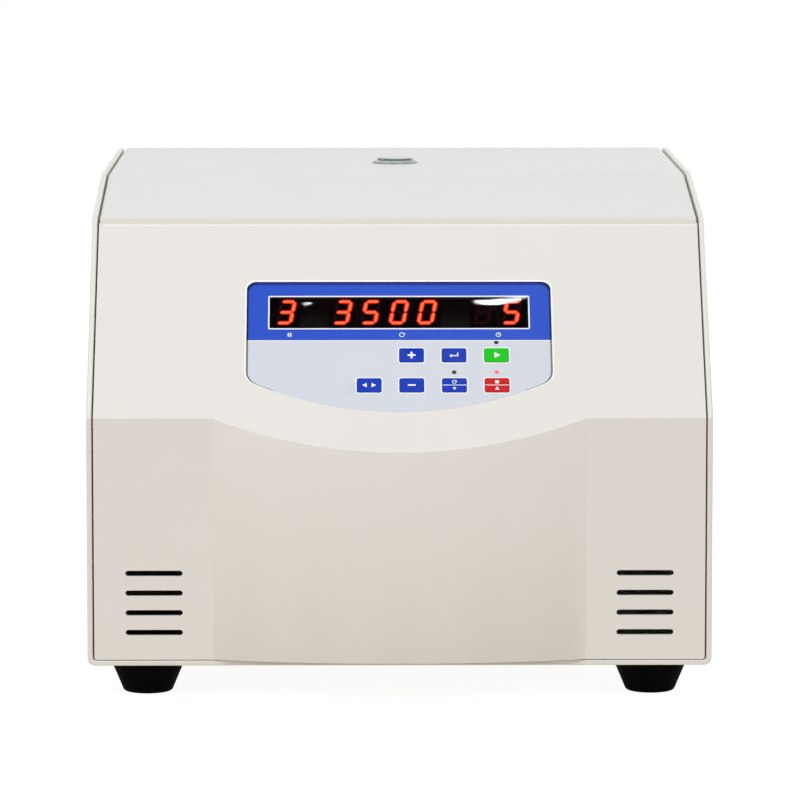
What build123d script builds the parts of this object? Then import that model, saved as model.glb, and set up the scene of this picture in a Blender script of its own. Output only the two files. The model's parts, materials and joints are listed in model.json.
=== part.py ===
from build123d import *
from math import cos, radians, sin, tan
import os

# Swing-bucket bench centrifuge, in millimetres.
# X runs to the right, Y to the back, Z up. The origin is on the table, under the middle of the body.

# Casing sizes. Its width, depth and height follow from the chamber and the room left round it
side_room = 15.2
rear_room = 15.0
lid_height = 43.0
shell_wall = 3.0
shell_corner = 4.2
shell_edge_round = 0.8

# Side outline: upright front, tilted face, sloped lid, flat top, round back
crease_height = 139.5
panel_tilt = 40.5
tilt_length = 139.6
lip_length = 5.0
slope_depth = 203.0
rear_round = 30.0

# Feet
foot_height = 20.0
foot_top_radius = 22.0
foot_bottom_radius = 13.6
foot_edge_round = 2.6
foot_inset_x = 32.5
foot_inset_y = 37.0
foot_screw_radius = 2.0
foot_screw_head_radius = 4.5
foot_screw_head_height = 3.0
foot_recess_depth = 9.0
foot_recess_gap = 1.0

# Front panel
panel_wall = 3.0
panel_gap = 0.9
panel_foot_gap = 0.4
panel_corner = 1.5
bulge = 15.0
wing_width = 70.6
slot_length = 32.0
slot_height = 3.2
slot_pitch = 11.15
slot_count = 4
slot_from_side = 37.5
slot_low = 18.8

# Control field on the tilted face, heights measured up the face from its lower crease
overlay_half_width = 86.0
overlay_top = 93.6
overlay_side_low = 26.0
overlay_low = 4.4
overlay_thickness = 0.6
overlay_sunk = 0.4
overlay_gap = 0.2
overlay_top_round = 5.6
overlay_low_round = 9.0
window_half_width = 73.0
window_low = 61.7
window_high = 82.9
window_flange = 2.0
window_flange_thickness = 1.0
window_gap = 0.15
window_face = 0.8
window_side = 0.9
window_set_back = 0.05
digit_pitch = 15.95
digit_width = 15.2
digit_height = 17.4
digit_raise = 0.9
digit_gap = 0.1
segment_length = 7.35
segment_thick = 1.9
segment_proud = 0.3
segment_gap = 0.15
segment_lean = 10.0
key_width = 13.5
key_height = 9.3
key_gap = 0.25
key_pitch_x = 23.9
key_pitch_up = 20.4
key_right_x = 54.7
key_low = 22.5
key_proud = 0.35
key_travel = 0.5
key_flange = 1.2
key_flange_thickness = 1.0
key_stem_radius = 2.0
key_stem_length = 3.6
key_corner = 1.0
key_play = 0.1
led_radius = 1.3
led_above_key = 8.95

# Control board
board_gap = 12.0
board_thickness = 1.6
board_half_width = 84.0
board_low = 6.0
board_high = 92.0
standoff_radius = 3.0
standoff_inset = 5.0
switch_size = 6.0
switch_play = 0.2
standoff_middle = 45.0
chip_thickness = 4.0
chips = [(-40.0, 40.0, 14.0, 14.0), (-10.0, 36.0, 22.0, 9.0), (30.0, 40.0, 26.0, 8.0)]

# Lid
lid_gap = 0.9
seam_gap = 0.45
lid_wall = 2.5
lid_edge_round = 3.0
lid_rise = 7.5
liner_thickness = 2.0
lid_front_setback = 6.4
lid_back_gap = 8.0

# Deck and chamber
deck_wall = 2.0
deck_flange = 18.0
bowl_radius = 148.0
bowl_wall = 1.2
bowl_corner = 22.0
bowl_hole_radius = 17.0
bowl_rim_width = 9.0
bowl_fit = 0.6
armour_gap = 3.0
armour_wall = 4.0
armour_rise = 16.0
deck_screw_front = 50.0
deck_screw_back = 70.0
seal_width = 6.0
seal_gap = 0.3

# Base, motor and shaft, heights measured from the shell's underside
base_thickness = 3.0
base_inset = 12.0
damper_radius = 12.0
damper_waist = 9.0
damper_height = 14.0
damper_ring_radius = 62.0
motor_plate_thickness = 4.0
motor_plate_rim = 2.0
motor_radius = 52.0
motor_wall = 3.5
motor_length = 50.0
motor_cap_thickness = 4.0
bearing_outer = 16.0
bearing_width = 9.0
bearing_boss = 20.0
shaft_radius = 7.5
shaft_upper_radius = 6.0
shaft_taper = 3.0
shaft_clearance = 2.0
shaft_end_gap = 1.0
shaft_fit = 0.05
core_radius = 30.0
stator_gap = 0.8
core_length = 26.0
core_rise = 2.0
boot_wall = 3.0
boss_gap = 1.8

# Rotor and buckets
pivot_below_deck = 37.0
pivot_share = 3 / 7
head_reach = 18.0
head_above = 8.0
head_below = 14.0
hub_radius = 22.0
hub_low_radius = 15.4
head_edge = 1.0
hub_below = 34.0
arm_slot_half = 20.5
arm_slot_clear = 7.0
arm_slot_round = 5.0
trunnion_radius = 3.5
trunnion_fit = 0.05
trunnion_length = 8.0
trunnion_end_gap = 0.6
bucket_radius = 19.0
bucket_wall = 2.5
bucket_above = 16.0
bucket_floor_gap = 7.0
swing_gap = 8.0
bucket_bottom_round = 8.5
bucket_collar = 0.8
bucket_collar_height = 12.0
cushion_height = 10.0
cushion_gap = 0.3
bucket_count = 4
nut_radius = 13.0
nut_height = 15.0
nut_thread_depth = 11.0
nut_grips = 8
nut_grip_radius = 2.2
nut_grip_depth = 1.2
nut_edge_round = 1.0

# Sight window
sight_flange_radius = 13.9
sight_flange_height = 2.0
sight_barrel_radius = 11.6
sight_bore_radius = 9.8
sight_seat = 1.2
sight_glass_proud = 1.2
sight_glass_round = 0.95

# Lid lock
striker_depth = 121.0
striker_seal_gap = 12.0
striker_thickness = 3.0
striker_half_width = 10.0
striker_drop = 29.0
striker_flange = 7.0
striker_window = 9.5
bolt_radius = 3.5
bolt_drop = 14.0
bolt_travel = 8.0
bolt_gap = 1.5
bolt_fit = 0.1
solenoid_length = 32.0
solenoid_half_width = 14.0
solenoid_frame = 2.0
coil_gap = 1.0
solenoid_set_back = 2.5
lock_plate_thickness = 2.0
lock_plate_side = 10.0
lock_plate_round = 4.0
bolt_tip_chamfer = 1.0
bolt_collar = 1.5
bolt_collar_length = 2.0
bolt_collar_gap = 1.0
lock_slot_gap = 3.5

# Hinges
hinge_radius = 3.75
hinge_pin_radius = 1.5
hinge_fit = 0.06
hinge_half_length = 30.0
hinge_from_side = 55.0
hinge_leaf_thickness = 2.0
hinge_leaf_height = 20.0
hinge_leaf_clear = 0.5
hinge_pin_head = 1.0
hinge_knuckle_gap = 0.3
hinge_set_back = 4.0
hinge_screw_radius = 1.6
hinge_screw_head = 3.0
hinge_screw_head_height = 1.2

# Rear panel, inlet and switch
rear_wall = 1.5
rear_inset = 8.5
rear_flange = 12.0
rear_panel_rise = 4.5
rear_screw_heights = (30.0, 105.0, 175.0)
vent_length = 50.0
vent_height = 4.0
vent_pitch = 9.0
vent_rows = 7
vent_column_pitch = 64.0
vent_middle_x = 62.0
vent_middle_height = 70.0
inlet_from_side = 70.0
inlet_height = 70.0
inlet_half_width = 14.0
inlet_half_height = 11.0
inlet_flange = 5.0
inlet_flange_thickness = 2.0
inlet_recess = 14.0
inlet_wall = 1.8
inlet_back = 4.0
inlet_flange_round = 3.0
inlet_key_chamfer = 4.0
pin_width = 2.0
pin_height = 5.0
pin_spread = 14.0
pin_drop = 3.5
pin_middle_rise = 0.5
pin_short = 2.0
switch_height = 115.0
switch_half_width = 10.5
switch_half_height = 14.0
switch_flange = 2.0
switch_wall = 1.5
switch_gap = 0.5
switch_pin_radius = 1.5
switch_pin_end_gap = 0.2
rocker_pin_length = 1.5
rocker_tilt = 7.0
rocker_proud = 3.5
rocker_depth = 9.0
rocker_hollow = 1.5
rocker_end_gap = 1.5
rocker_under = 3.0
rocker_slant = 4.0

# Case screws
screw_radius = 2.0
screw_head_radius = 3.9
screw_length = 8.0
screw_hole_gap = 0.2

# Power board
power_length = 160.0
power_depth = 100.0
power_from_front = 65.0
power_rise = 6.0
power_inset = 10.0
transformer_length = 48.0
transformer_depth = 42.0
transformer_height = 38.0
transformer_round = 3.0
transformer_place = (-45.0, 15.0)
capacitor_radius = 11.0
capacitor_height = 34.0
capacitor_places = [(10.0, 25.0), (38.0, 25.0)]
sink_length = 60.0
sink_thickness = 4.0
sink_height = 28.0
sink_place = (35.0, -15.0)
fin_count = 8
fin_pitch = 8.0
fin_thickness = 2.0
fin_depth = 20.0
terminal_length = 50.0
terminal_depth = 10.0
terminal_height = 12.0
terminal_place = (-35.0, -30.0)

# Sizes that follow: motor, bowl floor, pivots, deck and lid stack upwards from the shell's underside,
# and the case has the bowl's width and depth with the named room round it
can_low = shell_wall + base_thickness + damper_height + motor_plate_thickness
can_high = can_low + motor_length
cap_top = can_high + motor_cap_thickness
boss_top = can_high + bearing_width + motor_cap_thickness / 2
bowl_floor = boss_top + boss_gap + bowl_wall
swing_reach = bowl_radius - swing_gap
pivot_radius = swing_reach * pivot_share
bucket_below = swing_reach - pivot_radius
pivot_height = bowl_floor + bucket_floor_gap + bucket_below
deck_height = pivot_height + pivot_below_deck
lid_underside = deck_height + lid_rise
body_height = lid_underside + lid_height
bowl_hole = bowl_radius + bowl_wall + bowl_fit
armour_inner = bowl_hole + armour_gap
armour_outer = armour_inner + armour_wall
rim_radius = bowl_radius + bowl_rim_width
width = 2 * (armour_outer + side_room + shell_wall)
axis_depth = striker_depth + striker_seal_gap + rim_radius
body_depth = axis_depth + rim_radius + rear_room
bulge_half_width = width / 2 - wing_width
inlet_x = inlet_from_side - width / 2
switch_x = inlet_x
head_radius = pivot_radius + head_reach
arm_slot_inner = pivot_radius - bucket_radius - arm_slot_clear

# Places that follow from the sizes
front_y = bulge - (body_depth + bulge) / 2
rear_y = front_y + body_depth
base_z = foot_height
top_z = base_z + body_height
inside_x = width / 2 - shell_wall
inside_z = base_z + shell_wall
inside_corner = shell_corner - shell_wall
crease_z = base_z + crease_height
tilt_sin = sin(radians(panel_tilt))
tilt_cos = cos(radians(panel_tilt))
kink_y = front_y + tilt_length * tilt_sin
kink_z = crease_z + tilt_length * tilt_cos
slope_y = front_y + slope_depth
seam_up = tilt_length - lip_length
seam_y = front_y + seam_up * tilt_sin
seam_z = crease_z + seam_up * tilt_cos
axis_y = front_y + axis_depth
deck_z = base_z + deck_height
pivot_z = base_z + pivot_height
lid_under_z = base_z + lid_underside
liner_z = lid_under_z - liner_thickness
lid_half = inside_x - lid_gap
lid_back_y = rear_y - lid_back_gap
lid_front_y = seam_y + lid_front_setback
base_top_z = inside_z + base_thickness
rear_panel_y = rear_y - rear_inset
hinge_y = lid_back_y + hinge_set_back
hinge_z = deck_z
hinge_middles = [side * (width / 2 - hinge_from_side) for side in (-1, 1)]
hinge_screw_rise = (hinge_leaf_height + hinge_radius) / 2
bolt_z = deck_z - deck_wall - bolt_drop
striker_y = front_y + striker_depth

side_plane = Plane.YZ
front_plane = Plane.XZ.offset(-front_y)
tilt_plane = Plane(origin=(0, front_y, crease_z), x_dir=(1, 0, 0), z_dir=(0, -tilt_cos, tilt_sin))
field_plane = tilt_plane.offset(-overlay_sunk)
turning_plane = Plane(origin=(0, axis_y, base_z), x_dir=(1, 0, 0), z_dir=(0, -1, 0))
spindle = Axis((0, axis_y, 0), (0, 0, 1))

written = []


def save(piece, name):
    """Label a finished piece and write it to its own file."""
    piece.part.label = name
    export_step(piece.part, f"parts/{name}.step")
    written.append(name)


os.makedirs("parts", exist_ok=True)

foot_places = [
    (x * (width / 2 - foot_inset_x), y)
    for y in (front_y + foot_inset_y, rear_y - foot_inset_y)
    for x in (-1, 1)
]
rear_screws = [
    (side, rear_panel_y - rear_wall - rear_flange / 2, base_z + height)
    for side in (-1, 1)
    for height in rear_screw_heights
]
deck_screws = [
    (side, y, deck_z - deck_flange / 2)
    for side in (-1, 1)
    for y in (seam_y + deck_screw_front, rear_y - deck_screw_back)
]

# Outer shell: one sheet bent to a U, its side tops cut to the outline
with BuildPart() as outer_shell:
    with BuildSketch(side_plane):
        with BuildLine():
            Polyline(
                (rear_y, top_z - rear_round),
                (rear_y, base_z),
                (front_y, base_z),
                (front_y, crease_z),
                (kink_y, kink_z),
                (slope_y, top_z),
                (rear_y - rear_round, top_z),
            )
            CenterArc((rear_y - rear_round, top_z - rear_round), rear_round, 0, 90)
        make_face()
    extrude(amount=width / 2, both=True)
    bottom_edges = outer_shell.edges().filter_by(Axis.Y).group_by(Axis.Z)[0]
    fillet(bottom_edges, radius=shell_corner)
    with BuildSketch(Plane.XZ):
        with Locations((0, inside_z)):
            Rectangle(2 * inside_x, 2 * body_height, align=(Align.CENTER, Align.MIN))
    extrude(amount=body_depth, both=True, mode=Mode.SUBTRACT)
    inner_edges = outer_shell.edges().filter_by(Axis.Y).filter_by(lambda edge: edge.center().Z > base_z)
    fillet(inner_edges.filter_by(lambda edge: edge.center().Z < crease_z), radius=inside_corner)
    with BuildSketch(Plane.XY.offset(base_z)):
        with Locations(*foot_places):
            Circle(foot_screw_radius + screw_hole_gap)
    extrude(amount=shell_wall, mode=Mode.SUBTRACT)
    rims = outer_shell.edges().filter_by(lambda edge: edge.bounding_box().size.X < shell_corner / 2)
    fillet(rims.filter_by(lambda edge: edge.center().Z > inside_z), radius=shell_edge_round)
    for side, y, z in rear_screws + deck_screws:
        with Locations(Plane(origin=(side * width / 2, y, z), x_dir=(0, side, 0), z_dir=(side, 0, 0))):
            CounterSinkHole(
                radius=screw_radius + screw_hole_gap,
                counter_sink_radius=screw_head_radius + screw_hole_gap,
                depth=2 * shell_wall,
            )
save(outer_shell, "outer_shell")

# Front panel: wings, bulge and tilted face as one hollow moulding
panel_half = inside_x - panel_gap
panel_low_z = inside_z + panel_foot_gap


def overlay_field(plane, grow):
    """The control field: square-topped, round-bottomed, grown all round by the amount given."""
    half = overlay_half_width + grow
    with BuildSketch(plane) as field:
        with BuildLine():
            Polyline(
                (-half, overlay_side_low),
                (-half, overlay_top + grow),
                (half, overlay_top + grow),
                (half, overlay_side_low),
            )
            ThreePointArc((half, overlay_side_low), (0, overlay_low - grow), (-half, overlay_side_low))
        make_face()
        fillet(field.vertices().group_by(Axis.Y)[-1], radius=overlay_top_round + grow)
        fillet(field.vertices().group_by(Axis.Y)[0], radius=overlay_low_round + grow)
    return field.sketch


key_columns = [key_right_x - n * key_pitch_x for n in range(4)]
key_top_up = key_low + key_pitch_up
key_places = {
    "key_plus": (key_columns[2], key_top_up),
    "key_enter": (key_columns[1], key_top_up),
    "key_start": (key_columns[0], key_top_up),
    "key_select": (key_columns[3], key_low),
    "key_minus": (key_columns[2], key_low),
    "key_mode": (key_columns[1], key_low),
    "key_stop": (key_columns[0], key_low),
}
led_places = [
    (key_columns[0], key_top_up + led_above_key),
    (key_columns[1], key_low + led_above_key),
    (key_columns[0], key_low + led_above_key),
]
window_up = (window_low + window_high) / 2
window_height = window_high - window_low


def field_openings():
    """Openings through the tilted face for the window, the keys and the lamps."""
    with BuildSketch(tilt_plane) as openings:
        with Locations((0, window_up)):
            Rectangle(2 * (window_half_width + window_gap), window_height + 2 * window_gap)
        with Locations(*key_places.values()):
            RectangleRounded(key_width + 2 * key_gap, key_height + 2 * key_gap, key_corner + key_gap)
        with Locations(*led_places):
            Circle(led_radius)
    return openings.sketch


with BuildPart() as front_panel:
    with BuildSketch(Plane.XY.offset(panel_low_z)):
        with BuildLine():
            Polyline(
                (-bulge_half_width, front_y),
                (-panel_half, front_y),
                (-panel_half, seam_y),
                (panel_half, seam_y),
                (panel_half, front_y),
                (bulge_half_width, front_y),
            )
            ThreePointArc((bulge_half_width, front_y), (0, front_y - bulge), (-bulge_half_width, front_y))
        make_face()
    extrude(amount=seam_z - panel_low_z)
    split(bisect_by=tilt_plane, keep=Keep.BOTTOM)
    open_faces = [
        front_panel.faces().sort_by(Axis.Y)[-1],
        front_panel.faces().sort_by(Axis.Z)[0],
    ]
    offset(amount=-panel_wall, openings=open_faces, kind=Kind.INTERSECTION)
    with BuildSketch(front_plane):
        with Locations((0, base_z + slot_low + slot_pitch * (slot_count - 1) / 2)):
            with GridLocations(width - 2 * slot_from_side, slot_pitch, 2, slot_count):
                SlotOverall(slot_length, slot_height)
    extrude(amount=-panel_wall, mode=Mode.SUBTRACT)
    field_depth = overlay_thickness + overlay_sunk
    extrude(overlay_field(tilt_plane, overlay_gap), amount=-field_depth, mode=Mode.SUBTRACT)
    extrude(field_openings(), amount=-panel_wall, mode=Mode.SUBTRACT)
    low_edges = front_panel.edges().filter_by(Axis.Y).group_by(Axis.Z)[0]
    fillet(low_edges.group_by(Axis.X)[0] + low_edges.group_by(Axis.X)[-1], radius=panel_corner)
save(front_panel, "front_panel")

# Control overlay, a thin printed field let into the tilted face
with BuildPart() as overlay:
    extrude(overlay_field(field_plane.offset(-overlay_thickness), 0), amount=overlay_thickness)
    extrude(field_openings(), amount=-panel_wall, mode=Mode.SUBTRACT)
save(overlay, "overlay")

# Display window: a dark filter moulded as a shallow cap, with its flange behind the panel
window_depth = panel_wall - overlay_sunk - window_set_back
with BuildPart() as display_window:
    with BuildSketch(tilt_plane.offset(-panel_wall)):
        with Locations((0, window_up)):
            Rectangle(2 * window_half_width, window_height)
    extrude(amount=window_depth)
    with BuildSketch(tilt_plane.offset(-panel_wall)):
        with Locations((0, window_up)):
            Rectangle(2 * (window_half_width + window_flange), window_height + 2 * window_flange)
    extrude(amount=-window_flange_thickness)
    with BuildSketch(tilt_plane.offset(-panel_wall - window_flange_thickness)):
        with Locations((0, window_up)):
            Rectangle(2 * (window_half_width - window_side), window_height - 2 * window_side)
    extrude(amount=window_flange_thickness + window_depth - window_face, mode=Mode.SUBTRACT)
save(display_window, "display_window")

# Seven digits: block with seven raised segments each, one for the number, four for speed, two for time
board_face = tilt_plane.offset(-board_gap)
digit_front = board_gap - panel_wall + window_depth - window_face - digit_gap
digit_up = window_up + digit_raise
digit_slots = [-4, -2, -1, 0, 1, 3, 4]
lean = tan(radians(segment_lean))
segment_end = segment_length / 2 - segment_gap
segment_shoulder = segment_end - segment_thick / 2
segment_outline = [
    (-segment_end, 0),
    (-segment_shoulder, segment_thick / 2),
    (segment_shoulder, segment_thick / 2),
    (segment_end, 0),
    (segment_shoulder, -segment_thick / 2),
    (-segment_shoulder, -segment_thick / 2),
]


def segment_places(centre_x):
    """Middle and turn of each of the seven segments of one digit."""
    half = segment_length / 2
    rows = [(x, z) for z in (half, -half) for x in (-half, half)]
    upright = [(centre_x + x + lean * z, digit_up + z, 90 - segment_lean) for x, z in rows]
    level = [(centre_x + lean * z, digit_up + z, 0) for z in (segment_length, 0, -segment_length)]
    return upright + level


with BuildPart() as digit_modules:
    with BuildSketch(board_face):
        for slot in digit_slots:
            with Locations((slot * digit_pitch, digit_up)):
                Rectangle(digit_width, digit_height)
    extrude(amount=digit_front - segment_proud)
    with BuildSketch(board_face.offset(digit_front - segment_proud)):
        for slot in digit_slots:
            for x, up, turn in segment_places(slot * digit_pitch):
                with Locations(Location((x, up, 0), (0, 0, turn))):
                    Polygon(*segment_outline, align=None)
    extrude(amount=segment_proud)
save(digit_modules, "digit_modules")

with BuildPart() as indicator_leds:
    with BuildSketch(board_face):
        with Locations(*led_places):
            Circle(led_radius - key_play)
    extrude(amount=board_gap - overlay_sunk)
    led_tops = indicator_leds.faces().group_by(Axis(tilt_plane.origin, tilt_plane.z_dir))[-1]
    fillet(led_tops.edges(), radius=led_radius / 2)
save(indicator_leds, "indicator_leds")


def make_key(name, place):
    """A key cap: top through the overlay, flange behind the panel, stem towards its switch."""
    with BuildPart() as key:
        with BuildSketch(tilt_plane.offset(-panel_wall - key_play)):
            with Locations(place):
                RectangleRounded(key_width, key_height, key_corner)
        extrude(amount=panel_wall + key_play + key_proud - overlay_sunk)
        with BuildSketch(tilt_plane.offset(-panel_wall - key_play)):
            with Locations(place):
                Rectangle(key_width + 2 * key_flange, key_height + 2 * key_flange)
        extrude(amount=-key_flange_thickness)
        with BuildSketch(tilt_plane.offset(-panel_wall - key_play - key_flange_thickness)):
            with Locations(place):
                Circle(key_stem_radius)
        extrude(amount=-key_stem_length)
    save(key, name)


for key_name, key_place in key_places.items():
    make_key(key_name, key_place)

# Control board on four standoffs, with a switch under every key
key_stem_end = panel_wall + key_play + key_flange_thickness + key_stem_length
with BuildPart() as control_board:
    with BuildSketch(board_face):
        with Locations((0, (board_low + board_high) / 2)):
            Rectangle(2 * board_half_width, board_high - board_low)
    extrude(amount=-board_thickness)
    with BuildSketch(board_face):
        with Locations(*key_places.values()):
            Rectangle(switch_size, switch_size)
    extrude(amount=board_gap - key_stem_end - key_travel - switch_play)
    with BuildSketch(board_face):
        with Locations((0, board_high - standoff_inset)):
            with GridLocations(2 * (board_half_width - standoff_inset), 1, 2, 1):
                Circle(standoff_radius)
        with Locations((0, standoff_middle)):
            with GridLocations(2 * (board_half_width - standoff_inset), 1, 2, 1):
                Circle(standoff_radius)
    extrude(amount=board_gap - panel_wall)
    with BuildSketch(board_face.offset(-board_thickness)):
        for chip_x, chip_up, chip_width, chip_height in chips:
            with Locations((chip_x, chip_up)):
                Rectangle(chip_width, chip_height)
    extrude(amount=-chip_thickness)
save(control_board, "control_board")

# Lid shell: one hollow cover between the two sides of the case
lid_round = rear_round - lid_back_gap
slope_rise = (top_z - kink_z) / (slope_y - kink_y)


def lid_slope(y):
    """Height of the sloped part of the lid at a depth."""
    return kink_z + (y - kink_y) * slope_rise


with BuildPart() as lid_shell:
    lip_z = seam_z + seam_gap
    lip_y = seam_y + seam_gap * tilt_sin / tilt_cos
    with BuildSketch(side_plane):
        with BuildLine():
            Polyline(
                (lid_back_y, top_z - lid_round),
                (lid_back_y, lid_under_z),
                (lid_front_y, lid_under_z),
                (lid_front_y, lip_z),
                (lip_y, lip_z),
                (kink_y, kink_z),
                (slope_y, top_z),
                (lid_back_y - lid_round, top_z),
            )
            CenterArc((lid_back_y - lid_round, top_z - lid_round), lid_round, 0, 90)
        make_face()
    extrude(amount=lid_half, both=True)
    front_lip = lid_shell.edges().filter_by(Axis.X).sort_by_distance((0, kink_y, kink_z))[0]
    fillet(front_lip, radius=lid_edge_round)
    end_faces = lid_shell.faces().filter_by(Axis.X)
    rims = end_faces.sort_by(Axis.X)[0].edges() + end_faces.sort_by(Axis.X)[-1].edges()
    upper = rims.filter_by(lambda edge: edge.center().Z > kink_z or edge.center().Y > lid_back_y - lid_wall)
    fillet(upper, radius=lid_edge_round)
    with BuildSketch(side_plane):
        with BuildLine():
            Polyline(
                (lid_back_y, top_z - lid_round),
                (lid_back_y, lid_under_z - lid_wall),
                (lid_front_y, lid_under_z - lid_wall),
                (lid_front_y, lid_slope(lid_front_y)),
                (slope_y, top_z),
                (lid_back_y - lid_round, top_z),
            )
            CenterArc((lid_back_y - lid_round, top_z - lid_round), lid_round, 0, 90)
        make_face()
        offset(amount=-lid_wall, kind=Kind.INTERSECTION)
    extrude(amount=lid_half - lid_wall, both=True, mode=Mode.SUBTRACT)
    with BuildSketch(Plane.XY.offset(top_z)):
        with Locations((0, axis_y)):
            Circle(sight_barrel_radius)
    extrude(amount=-lid_wall, mode=Mode.SUBTRACT)
    with BuildSketch(Plane.XZ.offset(-lid_back_y)):
        for middle in hinge_middles:
            with Locations((middle, hinge_z + hinge_screw_rise)):
                with GridLocations(hinge_half_length, 1, 2, 1):
                    Circle(hinge_screw_radius)
    extrude(amount=lid_wall, mode=Mode.SUBTRACT)
save(lid_shell, "lid_shell")

# Lid liner: steel plate that closes the lid from below
with BuildPart() as lid_liner:
    with BuildSketch(Plane.XY.offset(liner_z)):
        with Locations((0, (lid_front_y + lid_back_y) / 2)):
            Rectangle(2 * lid_half, lid_back_y - lid_front_y)
        with Locations((0, axis_y)):
            Circle(sight_bore_radius, mode=Mode.SUBTRACT)
    extrude(amount=liner_thickness)
    fillet(lid_liner.edges().filter_by(Axis.Z), radius=lid_wall)
save(lid_liner, "lid_liner")

# Sight window: chrome bezel with a long barrel down to the liner, and its glass
with BuildPart() as sight_ring:
    with BuildSketch(turning_plane):
        with BuildLine():
            Polyline(
                (sight_bore_radius, lid_underside),
                (sight_barrel_radius, lid_underside),
                (sight_barrel_radius, body_height),
                (sight_flange_radius, body_height),
                (sight_flange_radius, body_height + sight_flange_height / 2),
                (sight_barrel_radius, body_height + sight_flange_height),
                (sight_bore_radius + sight_seat, body_height + sight_flange_height),
                (sight_bore_radius + sight_seat, body_height),
                (sight_bore_radius, body_height),
                close=True,
            )
        make_face()
    revolve(axis=spindle)
save(sight_ring, "sight_ring")

with BuildPart() as sight_glass:
    with BuildSketch(Plane.XY.offset(top_z)):
        with Locations((0, axis_y)):
            Circle(sight_bore_radius + sight_seat)
    extrude(amount=sight_flange_height + sight_glass_proud)
    fillet(sight_glass.faces().sort_by(Axis.Z)[-1].edges(), radius=sight_glass_round)
save(sight_glass, "sight_glass")

# Deck: folded plate across the case with the chamber hole and the lock slot
deck_back_y = rear_panel_y - rear_wall
with BuildPart() as deck:
    with BuildSketch(Plane.XY.offset(deck_z)):
        with Locations((0, (seam_y + deck_back_y) / 2)):
            Rectangle(2 * inside_x, deck_back_y - seam_y)
    extrude(amount=-deck_wall)
    with BuildSketch(Plane.XY.offset(deck_z - deck_wall)):
        for side in (-1, 1):
            with Locations((side * (inside_x - deck_wall / 2), (seam_y + deck_back_y - rear_flange) / 2)):
                Rectangle(deck_wall, deck_back_y - rear_flange - deck_wall - seam_y)
    extrude(amount=deck_wall - deck_flange)
    with BuildSketch(Plane.XY.offset(deck_z)):
        with Locations((0, seam_y)):
            Rectangle(2 * panel_half, deck_wall, align=(Align.CENTER, Align.MIN))
    extrude(amount=seam_z - deck_z)
    with BuildSketch(Plane.XY.offset(deck_z)):
        with Locations((0, axis_y)):
            Circle(bowl_hole)
        with Locations((0, striker_y + striker_thickness / 2)):
            Rectangle(2 * (striker_half_width + lock_slot_gap), striker_thickness + 2 * lock_slot_gap)
    extrude(amount=-deck_wall, mode=Mode.SUBTRACT)
    for side, y, z in deck_screws:
        with BuildSketch(Plane(origin=(side * inside_x, y, z), z_dir=(-side, 0, 0))):
            Circle(screw_radius)
        extrude(amount=deck_wall, mode=Mode.SUBTRACT)
save(deck, "deck")

# Chamber bowl: spun steel with a rolled rim, and the armour ring round it
with BuildPart() as chamber_bowl:
    with BuildSketch(turning_plane):
        with BuildLine():
            bowl_line = FilletPolyline(
                (bowl_hole_radius, bowl_floor),
                (bowl_radius, bowl_floor),
                (bowl_radius, deck_height + bowl_wall),
                (rim_radius, deck_height + bowl_wall),
                radius=[bowl_corner, bowl_wall],
            )
            offset(bowl_line, amount=bowl_wall, side=Side.RIGHT)
        make_face()
    revolve(axis=spindle)
save(chamber_bowl, "chamber_bowl")

armour_low = bowl_floor + armour_rise
with BuildPart() as armour_ring:
    with BuildSketch(Plane.XY.offset(base_z + armour_low)):
        with Locations((0, axis_y)):
            Circle(armour_outer)
            Circle(armour_inner, mode=Mode.SUBTRACT)
    extrude(amount=deck_height - deck_wall - armour_low)
save(armour_ring, "armour_ring")

seal_low = deck_height + bowl_wall
seal_high = lid_underside - liner_thickness - seal_gap
with BuildPart() as chamber_seal:
    with BuildSketch(turning_plane):
        with Locations((rim_radius - seal_width / 2, (seal_low + seal_high) / 2)):
            Rectangle(seal_width, seal_high - seal_low)
        with Locations((rim_radius, (seal_low + seal_high) / 2)):
            Circle((seal_high - seal_low) / 4, mode=Mode.SUBTRACT)
    revolve(axis=spindle)
save(chamber_seal, "chamber_seal")

# Base plate, feet and their screws
foot_recess_radius = foot_screw_head_radius + foot_recess_gap
with BuildPart() as base_plate:
    with BuildSketch(Plane.XY.offset(inside_z)):
        with Locations((0, (front_y + rear_panel_y - rear_wall) / 2)):
            Rectangle(2 * (inside_x - base_inset), rear_panel_y - rear_wall - front_y - 2 * base_inset)
        with Locations(*foot_places):
            Circle(foot_screw_radius, mode=Mode.SUBTRACT)
    extrude(amount=base_thickness)
save(base_plate, "base_plate")

with BuildPart() as feet:
    for x, y in foot_places:
        with BuildSketch(Plane(origin=(x, y, 0), x_dir=(1, 0, 0), z_dir=(0, -1, 0))) as cone:
            with BuildLine():
                Polyline(
                    (0, 0),
                    (foot_bottom_radius, 0),
                    (foot_top_radius, foot_height),
                    (0, foot_height),
                    close=True,
                )
            make_face()
            fillet(cone.vertices().sort_by_distance((foot_bottom_radius, 0, 0))[0], radius=foot_edge_round)
            with Locations((0, foot_height / 2)):
                Rectangle(2 * (foot_screw_radius + screw_hole_gap), foot_height, mode=Mode.SUBTRACT)
            with Locations((0, foot_recess_depth / 2)):
                Rectangle(2 * foot_recess_radius, foot_recess_depth, mode=Mode.SUBTRACT)
        revolve(axis=Axis((x, y, 0), (0, 0, 1)))
save(feet, "feet")

foot_screw_length = base_top_z - foot_recess_depth
with BuildPart() as foot_screws:
    with BuildSketch(Plane.XY.offset(foot_recess_depth)):
        with Locations(*foot_places):
            Circle(foot_screw_radius)
    extrude(amount=foot_screw_length)
    with BuildSketch(Plane.XY.offset(foot_recess_depth)):
        with Locations(*foot_places):
            Circle(foot_screw_head_radius)
    extrude(amount=-foot_screw_head_height)
save(foot_screws, "foot_screws")

# Motor: plate on three rubber dampers, finned can, stator, cap and bearings
motor_plate_z = base_top_z + damper_height
damper_places = PolarLocations(damper_ring_radius, 3, start_angle=90)

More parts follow.
